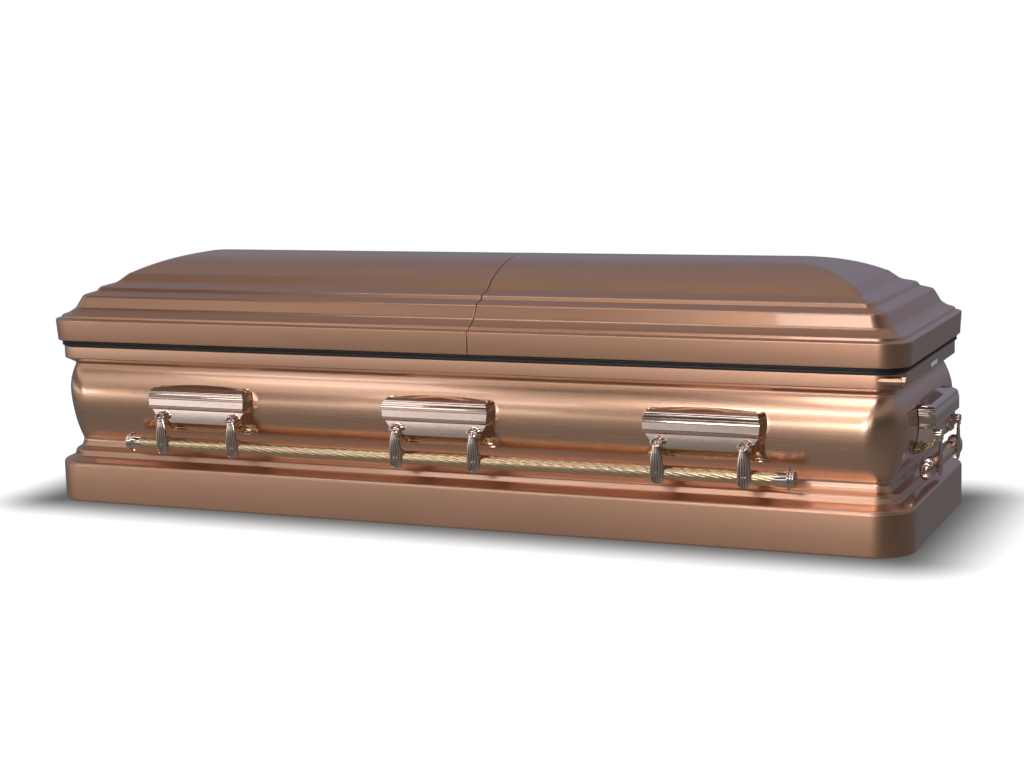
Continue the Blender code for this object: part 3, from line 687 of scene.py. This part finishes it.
# Memorial tube: a small copper-finished tube that comes out of the rim's front corner, with a
# grooved neck and a six-sided cap.
TUBE_AXIS = Vector((HALF_LENGTH - 0.020, -HALF_WIDTH + 0.029, 0.3705))
TUBE_RADIUS = 0.0092
TUBE_BORE = 0.0077
TUBE_SIDES = 40
TUBE_NECK = TUBE_RADIUS - 0.0008
TUBE_LINE = ((-0.075, TUBE_BORE), (-0.075, TUBE_RADIUS), (-0.0035, TUBE_RADIUS), (-0.0032, TUBE_NECK),
             (-0.0006, TUBE_NECK), (0, TUBE_RADIUS - 0.0003), (0, TUBE_BORE))
CAP_RADIUS = 0.0112
CAP_LENGTH = 0.0115
CAP_SIDES = 6
CAP_LINE = ((0.0003, CAP_RADIUS - 0.0012), (0.0013, CAP_RADIUS), (CAP_LENGTH - 0.0022, CAP_RADIUS),
            (CAP_LENGTH - 0.0008, CAP_RADIUS - 0.0014), (CAP_LENGTH, CAP_RADIUS - 0.0034))
tube_sculpt = bmesh.new()
add_turned(tube_sculpt, TUBE_LINE, TUBE_SIDES, Matrix.Translation(TUBE_AXIS), bored=True)
keep("record_tube", to_mesh(tube_sculpt), "casket_body", "memorial_tube", [SATIN])
cap_sculpt = bmesh.new()
add_turned(cap_sculpt, CAP_LINE, CAP_SIDES, Matrix.Translation(TUBE_AXIS))
keep("record_tube_cap", to_mesh(cap_sculpt), "casket_body", "memorial_tube_cap", [SATIN])

# Blank plate: a pale enamelled plate with a thin grey border, fixed to the rim at the foot end. It
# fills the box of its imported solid, and carries no text.
PLATE_BORDER = 0.0014
PLATE_SUNK = 0.0002
plate_low, plate_high = (Vector(corner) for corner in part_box("blank_plate"))
plate_place = Matrix.Translation((plate_low + plate_high) / 2)
plate_sculpt = bmesh.new()
bmesh.ops.create_cube(plate_sculpt, matrix=plate_place @ Matrix.Diagonal((*(plate_high - plate_low), 1)))
plate_front = [face for face in plate_sculpt.faces if face.calc_center_median().x > plate_high.x - WELD]
bmesh.ops.inset_region(plate_sculpt, faces=plate_front, thickness=PLATE_BORDER, depth=0)
for face in plate_front:
    face.material_index = 1
bmesh.ops.translate(plate_sculpt, verts=plate_front[0].verts, vec=(-PLATE_SUNK, 0, 0))
border, border_surface, border_start = blank_finish("plate_border", Metallic=0.6,
                                                    Base_Color=(0.30, 0.30, 0.34, 1))
join(noise(border_start, (500, 500, 500)) * 0.2 + 0.3, border_surface, "Roughness")
enamel = mottled_finish("plate_enamel", (120, 120, 120), 3.0, ((0.62, 0.62, 0.66), (0.70, 0.70, 0.74)),
                        0.4, 0.1)
keep("plain_plate", to_mesh(plate_sculpt), "casket_body", "blank_plate", [border, enamel])

# Lugs: nickel-plated castings screwed to the panel. Each has a reeded top, a broad face over two
# fine grooves, a plate that draws in below a step, a railed foot, and a ribbed hood over each arm.
LUG_PITCH = 0.627
LUG_SEAT = 0.0012
LUG_ARCH = 0.0078
LUG_COLUMNS = 24
LUG_CHAMFER = 0.013
LUG_CHAMFER_AT_FOOT = LUG_CHAMFER / 4
LUG_FOOT_OUT = -0.005
LUG_SIDE_SHARE = 0.62
LUG_LEVELS = (
    (0.1870, -0.0225, 0.1250, 0.1385),
    (0.1878, -0.0198, 0.1246, 0.1381),
    (0.1890, -0.0187, 0.1243, 0.1378),
    (0.1902, -0.0193, 0.1238, 0.1376),
    (0.1908, -0.0210, 0.1232, 0.1372),
    (0.1950, -0.0172, 0.1200, 0.1355),
    (0.1955, -0.0142, 0.1196, 0.1353),
    (0.1968, -0.0129, 0.1190, 0.1349),
    (0.1982, -0.0135, 0.1182, 0.1344),
    (0.1988, -0.0153, 0.1175, 0.1340),
    (0.2108, -0.0066, 0.1066, 0.1290),
    (0.2113, 0.0082, 0.1060, 0.1286),
    (0.2121, 0.0091, 0.1061, 0.1286),
    (0.2280, 0.0091, 0.1152, 0.1310),
    (0.2430, 0.0085, 0.1258, 0.1338),
    (0.2436, 0.0090, 0.1262, 0.1340),
    (0.2470, 0.0161, 0.1283, 0.1350),
    (0.2478, 0.0167, 0.1286, 0.1351),
    (0.2494, 0.0167, 0.1288, 0.1352),
    (0.2500, 0.0157, 0.1281, 0.1348),
    (0.2506, 0.0167, 0.1290, 0.1353),
    (0.2528, 0.0167, 0.1292, 0.1354),
    (0.2534, 0.0157, 0.1285, 0.1350),
    (0.2540, 0.0166, 0.1293, 0.1355),
    (0.2690, 0.0161, 0.1306, 0.1368),
    (0.2696, 0.0151, 0.1300, 0.1366),
    (0.2703, 0.0160, 0.1308, 0.1372),
    (0.2716, 0.0168, 0.1312, 0.1374),
    (0.2730, 0.0163, 0.1310, 0.1372),
    (0.2738, 0.0149, 0.1298, 0.1368),
    (0.2746, 0.0158, 0.1304, 0.1370),
    (0.2760, 0.0164, 0.1308, 0.1371),
    (0.2774, 0.0157, 0.1303, 0.1369),
    (0.2782, 0.0142, 0.1292, 0.1364),
    (0.2790, 0.0149, 0.1296, 0.1364),
    (0.2804, 0.0153, 0.1298, 0.1363),
    (0.2818, 0.0145, 0.1292, 0.1360),
    (0.2826, 0.0129, 0.1282, 0.1354),
    (0.2836, 0.0139, 0.1286, 0.1354),
    (0.2855, 0.0140, 0.1284, 0.1350),
    (0.2875, 0.0132, 0.1276, 0.1344),
    (0.2895, 0.0117, 0.1264, 0.1336),
    (0.2914, 0.0095, 0.1250, 0.1326),
    (0.2931, 0.0066, 0.1236, 0.1316),
    (0.2944, 0.0033, 0.1224, 0.1306),
    (0.2951, 0.0000, 0.1218, 0.1300),
    (0.2953, -0.0018, 0.1216, 0.1298),
    (0.2925, -0.0190, 0.1250, 0.1290),
)
TIER = ((0.1910, 0.1950), (0.1990, 0.2108))
HOOD_SPREAD = 0.097
HOOD_PIVOT = (0.0213, 0.2245)
HOOD_RADIUS = 0.0145
HOOD_HOLLOW = 0.0093
HOOD_OUT = 0.0262
HOOD_LEG = 0.0045
HOOD_STEPS = 60
HOOD_RIBS = 6
HOOD_RIB = 0.0016
HOOD_BACK = -0.004
HOOD_WAIST = 0.45
HOOD_LEAN = 0.9
HOOD_LIP_STEPS = 8
HOOD_SIDES = (-HOOD_SPREAD, HOOD_SPREAD)


def nickel_finish():
    """Bright rose-tinted nickel plate, nearly a mirror, with faint polishing haze."""
    finish, surface, start = blank_finish("rose_nickel_plate", Metallic=1.0)
    haze = noise(start, (90, 90, 260), 4.0)
    join(blend(haze, (0.74, 0.59, 0.53), (0.82, 0.665, 0.60)), surface, "Base Color")
    join(haze * 0.05 + 0.025, surface, "Roughness")
    roughen(surface, noise(start, (28, 28, 40), 2.0), 0.10, 0.0008)
    return finish


def gold_finish():
    """Pale gold lacquered plate with faint drawing marks along the tube."""
    finish, surface, start = blank_finish("pale_gold_plate", Metallic=1.0)
    cloud = noise(start, (25, 60, 60), 2.0)
    join(blend(cloud, (0.74, 0.53, 0.33), (0.83, 0.61, 0.40)), surface, "Base Color")
    join(noise(start, (14, 900, 900)) * 0.10 + 0.15, surface, "Roughness")
    return finish


NICKEL = nickel_finish()
GOLD = gold_finish()


def ramp(value, start, length):
    """How far a value is along a length from a start, from 0 to 1."""
    return min(max((value - start) / length, 0), 1)


def add_hood(sculpt, centre_x):
    """Adds a shell-like hood: a ribbed arch with a rounded lip, hollow over the arm's head."""
    wall = (HOOD_RADIUS - HOOD_HOLLOW) / 2
    section = [(HOOD_BACK, HOOD_HOLLOW), (HOOD_BACK, HOOD_RADIUS - 0.0006),
               (HOOD_OUT * HOOD_WAIST, HOOD_RADIUS - 0.0002)]
    for step in range(HOOD_LIP_STEPS + 1):
        angle = pi * step / HOOD_LIP_STEPS
        section.append((HOOD_OUT - wall + wall * sin(angle), HOOD_HOLLOW + wall + wall * cos(angle)))
    rows = []
    for step in range(-1, HOOD_STEPS + 2):
        turn = pi * min(max(step, 0), HOOD_STEPS) / HOOD_STEPS
        drop = HOOD_LEG if step in (-1, HOOD_STEPS + 1) else 0
        swell = HOOD_RIB * abs(sin(HOOD_RIBS * turn)) - HOOD_RIB
        row = []
        for out, radius in section:
            reach = radius + swell * ramp(radius, HOOD_HOLLOW, 2 * wall)
            lean = swell * HOOD_LEAN * ramp(out, HOOD_OUT - 2 * wall, wall)
            x = centre_x + reach * cos(turn)
            z = HOOD_PIVOT[1] + reach * sin(turn) - drop
            row.append(sculpt.verts.new((x, -out - lean, z)))
        rows.append(row)
    add_skin(sculpt, rows, capped=True)


BRACKET_LINE = (
    (0.0136, 0.2250), (0.0140, 0.2200), (0.0138, 0.2160), (0.0120, 0.2135), (0.0100, 0.2115),
    (0.0098, 0.2090), (0.0105, 0.2066), (0.0098, 0.2040), (0.0070, 0.2020), (0.0030, 0.2005),
    (-0.0010, 0.1985), (-0.0040, 0.1955), (-0.0075, 0.1925), (-0.0120, 0.1905),
)
BRACKET_HALF = 0.0112
BRACKET_TRIM = 0.0012
BRACKET_BACK = (-0.022, -0.006)
SCROLLS = ((0.0085, 0.2165, 0.0050), (0.0052, 0.2068, 0.0046), (-0.0035, 0.2005, 0.0040),
           (-0.0110, 0.1945, 0.0034))
SCROLL_LINE = ((-1.12, 0.45), (-1.12, 0.75), (-1.06, 1.0), (1.06, 1.0), (1.12, 0.75), (1.12, 0.45))
SCROLL_REACH = BRACKET_HALF * 1.08
SCROLL_SIDES = 22
KNOBS = ((0.0150, -0.0085, 0.2035, 0.0036), (0.0175, -0.0140, 0.1975, 0.0034),
         (0.0150, -0.0190, 0.1915, 0.0030))
KNOB_ANGLES = (-0.4, 0.0, 0.35, 0.7, 1.05, 1.35)
KNOB_STRETCH = 1.1
KNOB_SIDES = 16


def add_bracket(sculpt, centre_x):
    """Adds the scrolled bracket that carries a hood: an S-shaped web, its scrolls and a lobed foot."""
    rows = []
    for x, trim in ((-BRACKET_HALF, BRACKET_TRIM), (-BRACKET_HALF + BRACKET_TRIM, 0),
                    (BRACKET_HALF - BRACKET_TRIM, 0), (BRACKET_HALF, BRACKET_TRIM)):
        line = [(out - trim, z) for out, z in BRACKET_LINE]
        line += [(BRACKET_BACK[0], BRACKET_LINE[-1][1]), (BRACKET_BACK[1], BRACKET_LINE[0][1])]
        rows.append([sculpt.verts.new((centre_x + x, -out, z)) for out, z in line])
    add_skin(sculpt, rows, capped=True)
    for out, z, radius in SCROLLS:
        line = [(along * SCROLL_REACH, share * radius) for along, share in SCROLL_LINE]
        add_turned(sculpt, line, SCROLL_SIDES, Matrix.Translation((centre_x, -out, z)))
    for side in (-1, 1):
        for along, out, z, radius in KNOBS:
            knob = Matrix.Translation((centre_x + side * along, -out, z)) @ Matrix.Rotation(-pi / 2, 4, "Z")
            line = [(radius * KNOB_STRETCH * sin(angle), radius * cos(angle)) for angle in KNOB_ANGLES]
            add_turned(sculpt, line, KNOB_SIDES, knob)


def lug_form():
    """One lug, its front at the plane of the base moulding's face and its back following the panel."""
    sculpt = bmesh.new()
    shares = [2 * column / LUG_COLUMNS - 1 for column in range(LUG_COLUMNS + 1)]
    rows = []
    for level in LUG_LEVELS:
        z, out, half, back_half = level
        arch = LUG_ARCH if level is LUG_LEVELS[-1] else 0
        back = panel_inset(z) - LUG_SEAT
        side_half = half + (back_half - half) * LUG_SIDE_SHARE
        side_out = out - (LUG_CHAMFER if out > LUG_FOOT_OUT else LUG_CHAMFER_AT_FOOT)
        row = [(share * half, -out, z + arch * (1 - share ** 2)) for share in shares]
        row.append((side_half, -side_out, z))
        row += [(share * back_half, back, z + arch * (1 - share ** 2)) for share in reversed(shares)]
        row.append((-side_half, -side_out, z))
        rows.append([sculpt.verts.new(point) for point in row])
    add_skin(sculpt, rows, capped=True)
    for face in sculpt.faces:
        middle = face.calc_center_median().z
        face.material_index = int(any(low < middle < high for low, high in TIER))
    for centre_x in HOOD_SIDES:
        add_hood(sculpt, centre_x)
        made = set(sculpt.faces)
        add_bracket(sculpt, centre_x)
        for face in sculpt.faces:
            if face not in made:
                face.material_index = 1
    return to_mesh(sculpt)


SIDES = {"front": (0.0, HALF_WIDTH), "back": (pi, HALF_WIDTH), "head_end": (-pi / 2, HALF_LENGTH),
         "foot_end": (pi / 2, HALF_LENGTH)}


def side_frame(side):
    """Where a side's hardware is worked out from: the middle of its base moulding, facing -Y."""
    turn, face = SIDES[side]
    return Matrix.Rotation(turn, 4, "Z") @ Matrix.Translation((0, -face, 0))


def lug_centres(side):
    """Where a side's lugs stand along it: three on a long side and one on an end."""
    return (-LUG_PITCH, 0, LUG_PITCH) if side in ("front", "back") else (0,)


def moved(mesh, matrix):
    """A copy of a mesh with its place in its points."""
    copy = mesh.copy()
    copy.transform(matrix)
    return copy


lug_mesh = lug_form()
for side in SIDES:
    centres = lug_centres(side)
    for number, centre in enumerate(centres, 1):
        node = "lug_" + side + ("_" + str(number) if len(centres) > 1 else "")
        lug = moved(lug_mesh, side_frame(side) @ Matrix.Translation((centre, 0, 0)))
        keep(node + "_casting", lug, "casket_body", node, [NICKEL, GOLD], radians(28))

# Arms: cast leaves with veins that spread from the head, hung by a trunnion in the lug's hood,
# with a ring behind that holds the bar. Nickel-plated like the lugs.
ARM_TOP_Z = 0.2307
ARM_BOTTOM_Z = 0.1365
ARM_BACK_OUT = 0.0188
ARM_THICKNESS = 0.005
ARM_HEAD_HALF = 0.0064
ARM_HALF = 0.0154
ARM_WIDEST = 0.64
ARM_ROUND_START = 0.84
ARM_ROUNDING = 0.86
ARM_SWELL = 1.2
ARM_ROWS = 46
ARM_COLUMNS = 60
ARM_VEINS = 5
VEIN_DEPTH = 0.0027
BAR_RADIUS = 0.0155
BAR_OUT = 0.003
BAR_Z = 0.159
COLLAR_RADIUS = 0.0195
COLLAR_HALF = 0.0070
TRUNNION = 0.0027
TRUNNION_HALF = 0.0140
TRUNNION_SIDES = 20
VEINS_START = 0.22
VEINS_GROWTH = 0.34
FOLD_HEIGHT = 0.0009
FOLD_GROWTH = 0.3
FLANK_SHARE = 0.38
CROWN_SHARE = 0.50
CROWN_POWER = 2.6
VEIN_LEVEL = 0.8
BACK_SHARE = 0.94
BEAD_ANGLES = (-1.45, -1.2, -0.9, -0.6, -0.3, 0, 0.3, 0.6, 0.9, 1.2, 1.45)
HEAD_RADIUS = 0.0050
HEAD_SIDES = 28
KNUCKLE_RADIUS = 0.0042
KNUCKLE_PLACE = (ARM_BACK_OUT + 0.0036, HOOD_PIVOT[1] - 0.0065)
ARM_KNUCKLE_SIDES = 24
COLLAR_HOLE = BAR_RADIUS + 0.0006
COLLAR_EDGE = 0.0012
COLLAR_SIDES = 40


def leaf_half(share):
    """Half the leaf's width at a share of the way from its head to its tip."""
    swell = sin(pi / 2 * min(share / ARM_WIDEST, 1)) ** ARM_SWELL
    width = ARM_HEAD_HALF + (ARM_HALF - ARM_HEAD_HALF) * swell
    if share > ARM_ROUND_START:
        end_share = (share - ARM_ROUND_START) / (1 - ARM_ROUND_START)
        width *= sqrt(1 - ARM_ROUNDING * end_share ** 2)
    return width


def add_bead(sculpt, radius, sides, matrix):
    """Adds a nearly round bead, flat where it ends along X."""
    add_turned(sculpt, [(radius * sin(angle), radius * cos(angle)) for angle in BEAD_ANGLES], sides, matrix)


def arm_form():
    """One arm about the middle of its side, with its ring, trunnion and rounded head."""
    sculpt = bmesh.new()
    drop = ARM_TOP_Z - ARM_BOTTOM_Z
    acrosses = [2 * column / ARM_COLUMNS - 1 for column in range(ARM_COLUMNS + 1)]
    rows = []
    for row_number in range(ARM_ROWS + 1):
        share = row_number / ARM_ROWS
        half = leaf_half(share)
        z = ARM_TOP_Z - drop * share
        veins = VEIN_DEPTH * ramp(share, VEINS_START, VEINS_GROWTH)
        edge_round = min(1, 10 * share, 10 * (1 - share) + 0.15)
        row = []
        for across in acrosses:
            crown = (1 - abs(across) ** CROWN_POWER) ** 0.5
            fold = FOLD_HEIGHT * (1 - abs(across)) * min(share / FOLD_GROWTH, 1)
            vein = veins * (abs(cos(pi * ARM_VEINS * across / 2)) - VEIN_LEVEL) * (1 - abs(across) ** 3)
            thick = ARM_THICKNESS * (FLANK_SHARE + CROWN_SHARE * crown * edge_round)
            out = ARM_BACK_OUT + thick + fold + vein
            row.append(sculpt.verts.new((across * half, -out, z)))
        for across in reversed(acrosses):
            row.append(sculpt.verts.new((across * half * BACK_SHARE, -ARM_BACK_OUT, z)))
        rows.append(row)
    add_skin(sculpt, rows, capped=True)
    pivot = Matrix.Translation((0, -HOOD_PIVOT[0], HOOD_PIVOT[1]))
    add_turned(sculpt, [(-TRUNNION_HALF, TRUNNION), (TRUNNION_HALF, TRUNNION)], TRUNNION_SIDES, pivot)
    add_bead(sculpt, HEAD_RADIUS, HEAD_SIDES, pivot)
    knuckle = Matrix.Translation((0, -KNUCKLE_PLACE[0], KNUCKLE_PLACE[1]))
    add_bead(sculpt, KNUCKLE_RADIUS, ARM_KNUCKLE_SIDES, knuckle)
    collar = [(-COLLAR_HALF, COLLAR_HOLE), (-COLLAR_HALF, COLLAR_RADIUS - COLLAR_EDGE),
              (-COLLAR_HALF + COLLAR_EDGE, COLLAR_RADIUS), (COLLAR_HALF - COLLAR_EDGE, COLLAR_RADIUS),
              (COLLAR_HALF, COLLAR_RADIUS - COLLAR_EDGE), (COLLAR_HALF, COLLAR_HOLE)]
    add_turned(sculpt, collar, COLLAR_SIDES, Matrix.Translation((0, -BAR_OUT, BAR_Z)), bored=True)
    return to_mesh(sculpt)


arm_mesh = arm_form()
for side in SIDES:
    places = [centre + offset for centre in lug_centres(side) for offset in HOOD_SIDES]
    for number, place in enumerate(places, 1):
        node = "arm_" + side + "_" + str(number)
        arm = moved(arm_mesh, side_frame(side) @ Matrix.Translation((place, 0, 0)))
        keep(node + "_casting", arm, "handle_" + side, node, [NICKEL], radians(40))

# Bars: pale gold tubes run through the arms' rings. The long ones have a slow twist of rounded
# reeds, which Geometry Nodes wraps round the tube; the short ones at the ends are plain.
BAR_REACH = {"front": 0.8326, "back": 0.8326, "head_end": 0.164, "foot_end": 0.164}
TIP_LENGTH = 0.044
TIP_JOINT = 0.0003
REED_COUNT = 16
REED_DEPTH = 0.0005
REED_TURN = 0.460
BAR_BORE = 0.014
BAR_SIDES = 160
LONG_BAR_RINGS = 380
SHORT_BAR_RINGS = 40
RIM_REACH = 1e-4


def bar_tree():
    """Geometry Nodes that roll a grid into a tube along X whose skin is reeded in a slow twist."""
    tree = bpy.data.node_groups.new("reeded_tube", "GeometryNodeTree")
    face = tree.interface
    face.new_socket("Geometry", in_out="INPUT", socket_type="NodeSocketGeometry")
    for name, value in (("Half Length", 0.5), ("Radius", BAR_RADIUS), ("Reeds", REED_COUNT),
                        ("Reed Depth", REED_DEPTH), ("Turn Length", REED_TURN)):
        face.new_socket(name, in_out="INPUT", socket_type="NodeSocketFloat").default_value = value
    for name, value in (("Rings", LONG_BAR_RINGS), ("Sides", BAR_SIDES)):
        face.new_socket(name, in_out="INPUT", socket_type="NodeSocketInt").default_value = value
    face.new_socket("Finish", in_out="INPUT", socket_type="NodeSocketMaterial")
    face.new_socket("Geometry", in_out="OUTPUT", socket_type="NodeSocketGeometry")
    start = Wire(tree)
    given = tree.nodes.new("NodeGroupInput")
    inputs = {socket.name: Wire(tree, socket) for socket in given.outputs if socket.name}
    grid = start.node("GeometryNodeMeshGrid", {}, {"Size X": 1.0, "Size Y": 1.0, "Vertices X": inputs["Rings"],
                                                   "Vertices Y": inputs["Sides"] + 1})
    spot = start.node("GeometryNodeInputPosition", {}, {})
    parts = start.node("ShaderNodeSeparateXYZ", {}, {"Vector": spot})
    along = parts * 2 * inputs["Half Length"]
    round_share = Wire(tree, parts.socket.node.outputs["Y"])
    turns = along.sum("DIVIDE", along, inputs["Turn Length"])
    angle = (round_share - turns) * (2 * pi)
    phase = round_share * inputs["Reeds"] * pi
    reed = phase.sum("ABSOLUTE", phase.sum("SINE", phase))
    radius = inputs["Radius"] - inputs["Reed Depth"] * (1 - reed)
    rolled = start.node("ShaderNodeCombineXYZ", {}, {
        "X": along,
        "Y": radius * angle.sum("COSINE", angle) * -1,
        "Z": radius * angle.sum("SINE", angle),
    })
    tube = start.node("GeometryNodeSetPosition", {}, {"Geometry": grid, "Position": rolled})
    welded = start.node("GeometryNodeMergeByDistance", {}, {"Geometry": tube, "Distance": WELD})
    real = start.node("GeometryNodeRealizeInstances", {}, {"Geometry": welded})
    dressed = start.node("GeometryNodeSetMaterial", {}, {"Geometry": real, "Material": inputs["Finish"]})
    done = tree.nodes.new("NodeGroupOutput")
    tree.links.new(dressed.socket, done.inputs["Geometry"])
    return tree


reeded_tube = bar_tree()


def bar_skin(values):
    """The outer skin of a bar from the Geometry Nodes, as a plain mesh."""
    maker = new_object("bar_maker", bpy.data.meshes.new("bar_maker"))
    modifier = maker.modifiers.new("reeded_tube", "NODES")
    modifier.node_group = reeded_tube
    for socket in reeded_tube.interface.items_tree:
        if socket.in_out == "INPUT" and socket.name in values:
            modifier[socket.identifier] = values[socket.name]
    bpy.context.view_layer.update()
    evaluated = maker.evaluated_get(bpy.context.evaluated_depsgraph_get())
    mesh = bpy.data.meshes.new_from_object(evaluated)
    maker.modifiers.remove(modifier)
    bpy.data.objects.remove(maker)
    return mesh


def bar_half(side):
    """Half the length of a side's bar, which stops where its tips begin."""
    return BAR_REACH[side] - TIP_LENGTH - TIP_JOINT


def bar_frame(side):
    """The middle of a side's bar, facing as its side does."""
    return side_frame(side) @ Matrix.Translation((0, -BAR_OUT, BAR_Z))


def bar_form(side):
    """A bar: its skin, with the tube's bore and end rims added."""
    long_side = side in ("front", "back")
    mesh = bar_skin({
        "Half Length": bar_half(side),
        "Reed Depth": REED_DEPTH if long_side else 0.0,
        "Rings": LONG_BAR_RINGS if long_side else SHORT_BAR_RINGS,
        "Finish": GOLD,
    })
    sculpt = bmesh.new()
    sculpt.from_mesh(mesh)
    for end in (-bar_half(side), bar_half(side)):
        rim = [edge for edge in sculpt.edges if edge.is_boundary
               and all(abs(vert.co.x - end) < RIM_REACH for vert in edge.verts)]
        inner = bmesh.ops.extrude_edge_only(sculpt, edges=rim)
        for vert in [item for item in inner["geom"] if isinstance(item, bmesh.types.BMVert)]:
            across = Vector((0, vert.co.y, vert.co.z)).normalized() * BAR_BORE
            vert.co = Vector((vert.co.x, across.y, across.z))
    bmesh.ops.bridge_loops(sculpt, edges=[edge for edge in sculpt.edges if edge.is_boundary])
    bmesh.ops.transform(sculpt, matrix=bar_frame(side), verts=sculpt.verts)
    return to_mesh(sculpt)


for side in SIDES:
    node = "bar_" + side
    keep(node + "_tube", bar_form(side), "handle_" + side, node, [GOLD], radians(60))

# Tips: nickel-plated castings plugged into the bars' ends, a round barrel, a thin flange, then
# two stepped upright ovals and a dished end.
TIP_SIDES = 56
SPIGOT_LENGTH = 0.022
SPIGOT_RADIUS = 0.0130
TIP_LINE = (
    (0.0000, 0.0160, 0.0152), (0.0004, 0.0168, 0.0160), (0.0014, 0.0172, 0.0164), (0.0262, 0.0172, 0.0164),
    (0.0270, 0.0186, 0.0168), (0.0276, 0.0228, 0.0172), (0.0284, 0.0236, 0.0176), (0.0298, 0.0236, 0.0176),
    (0.0306, 0.0226, 0.0170), (0.0310, 0.0186, 0.0146), (0.0318, 0.0184, 0.0144), (0.0324, 0.0192, 0.0150),
    (0.0334, 0.0196, 0.0154), (0.0352, 0.0196, 0.0154), (0.0362, 0.0190, 0.0149), (0.0368, 0.0174, 0.0136),
    (0.0376, 0.0174, 0.0136), (0.0382, 0.0182, 0.0140), (0.0390, 0.0185, 0.0143), (0.0408, 0.0184, 0.0142),
    (0.0424, 0.0174, 0.0133), (0.0434, 0.0158, 0.0120), (0.0440, 0.0138, 0.0104), (0.0440, 0.0120, 0.0088),
    (0.0430, 0.0108, 0.0076), (0.0424, 0.0098, 0.0068), (0.0424, 0.0080, 0.0052), (0.0434, 0.0064, 0.0040),
    (0.0438, 0.0036, 0.0022),
)
OVAL_START = 0.0265
OVAL_SQUARENESS = 0.82


def signed_power(value, power):
    """A value's size raised to a power, with the value's sign."""
    return abs(value) ** power * (1 if value > 0 else -1)


def tip_form():
    """One tip along +X from where its bar ends, with its spigot inside the bar."""
    sculpt = bmesh.new()
    line = [(-SPIGOT_LENGTH, SPIGOT_RADIUS - 0.001, SPIGOT_RADIUS - 0.001),
            (-SPIGOT_LENGTH + 0.001, SPIGOT_RADIUS, SPIGOT_RADIUS), (TIP_JOINT, SPIGOT_RADIUS, SPIGOT_RADIUS)]
    line += [(along + TIP_JOINT, high, deep) for along, high, deep in TIP_LINE]
    rows = []
    for along, high, deep in line:
        power = OVAL_SQUARENESS if along > OVAL_START else 1.0
        angles = [2 * pi * side / TIP_SIDES for side in range(TIP_SIDES)]
        rows.append([sculpt.verts.new((along, deep * signed_power(cos(angle), power),
                                       high * signed_power(sin(angle), power))) for angle in angles])
    add_skin(sculpt, rows, capped=True)
    return to_mesh(sculpt)


tip_mesh = tip_form()
for side in SIDES:
    for end, about in (("left", pi), ("right", 0)):
        node = "tip_" + side + "_" + end
        place = bar_frame(side) @ Matrix.Rotation(about, 4, "Z") @ Matrix.Translation((bar_half(side), 0, 0))
        tip = moved(tip_mesh, place)
        keep(node + "_casting", tip, "handle_" + side, node, [NICKEL], radians(50))
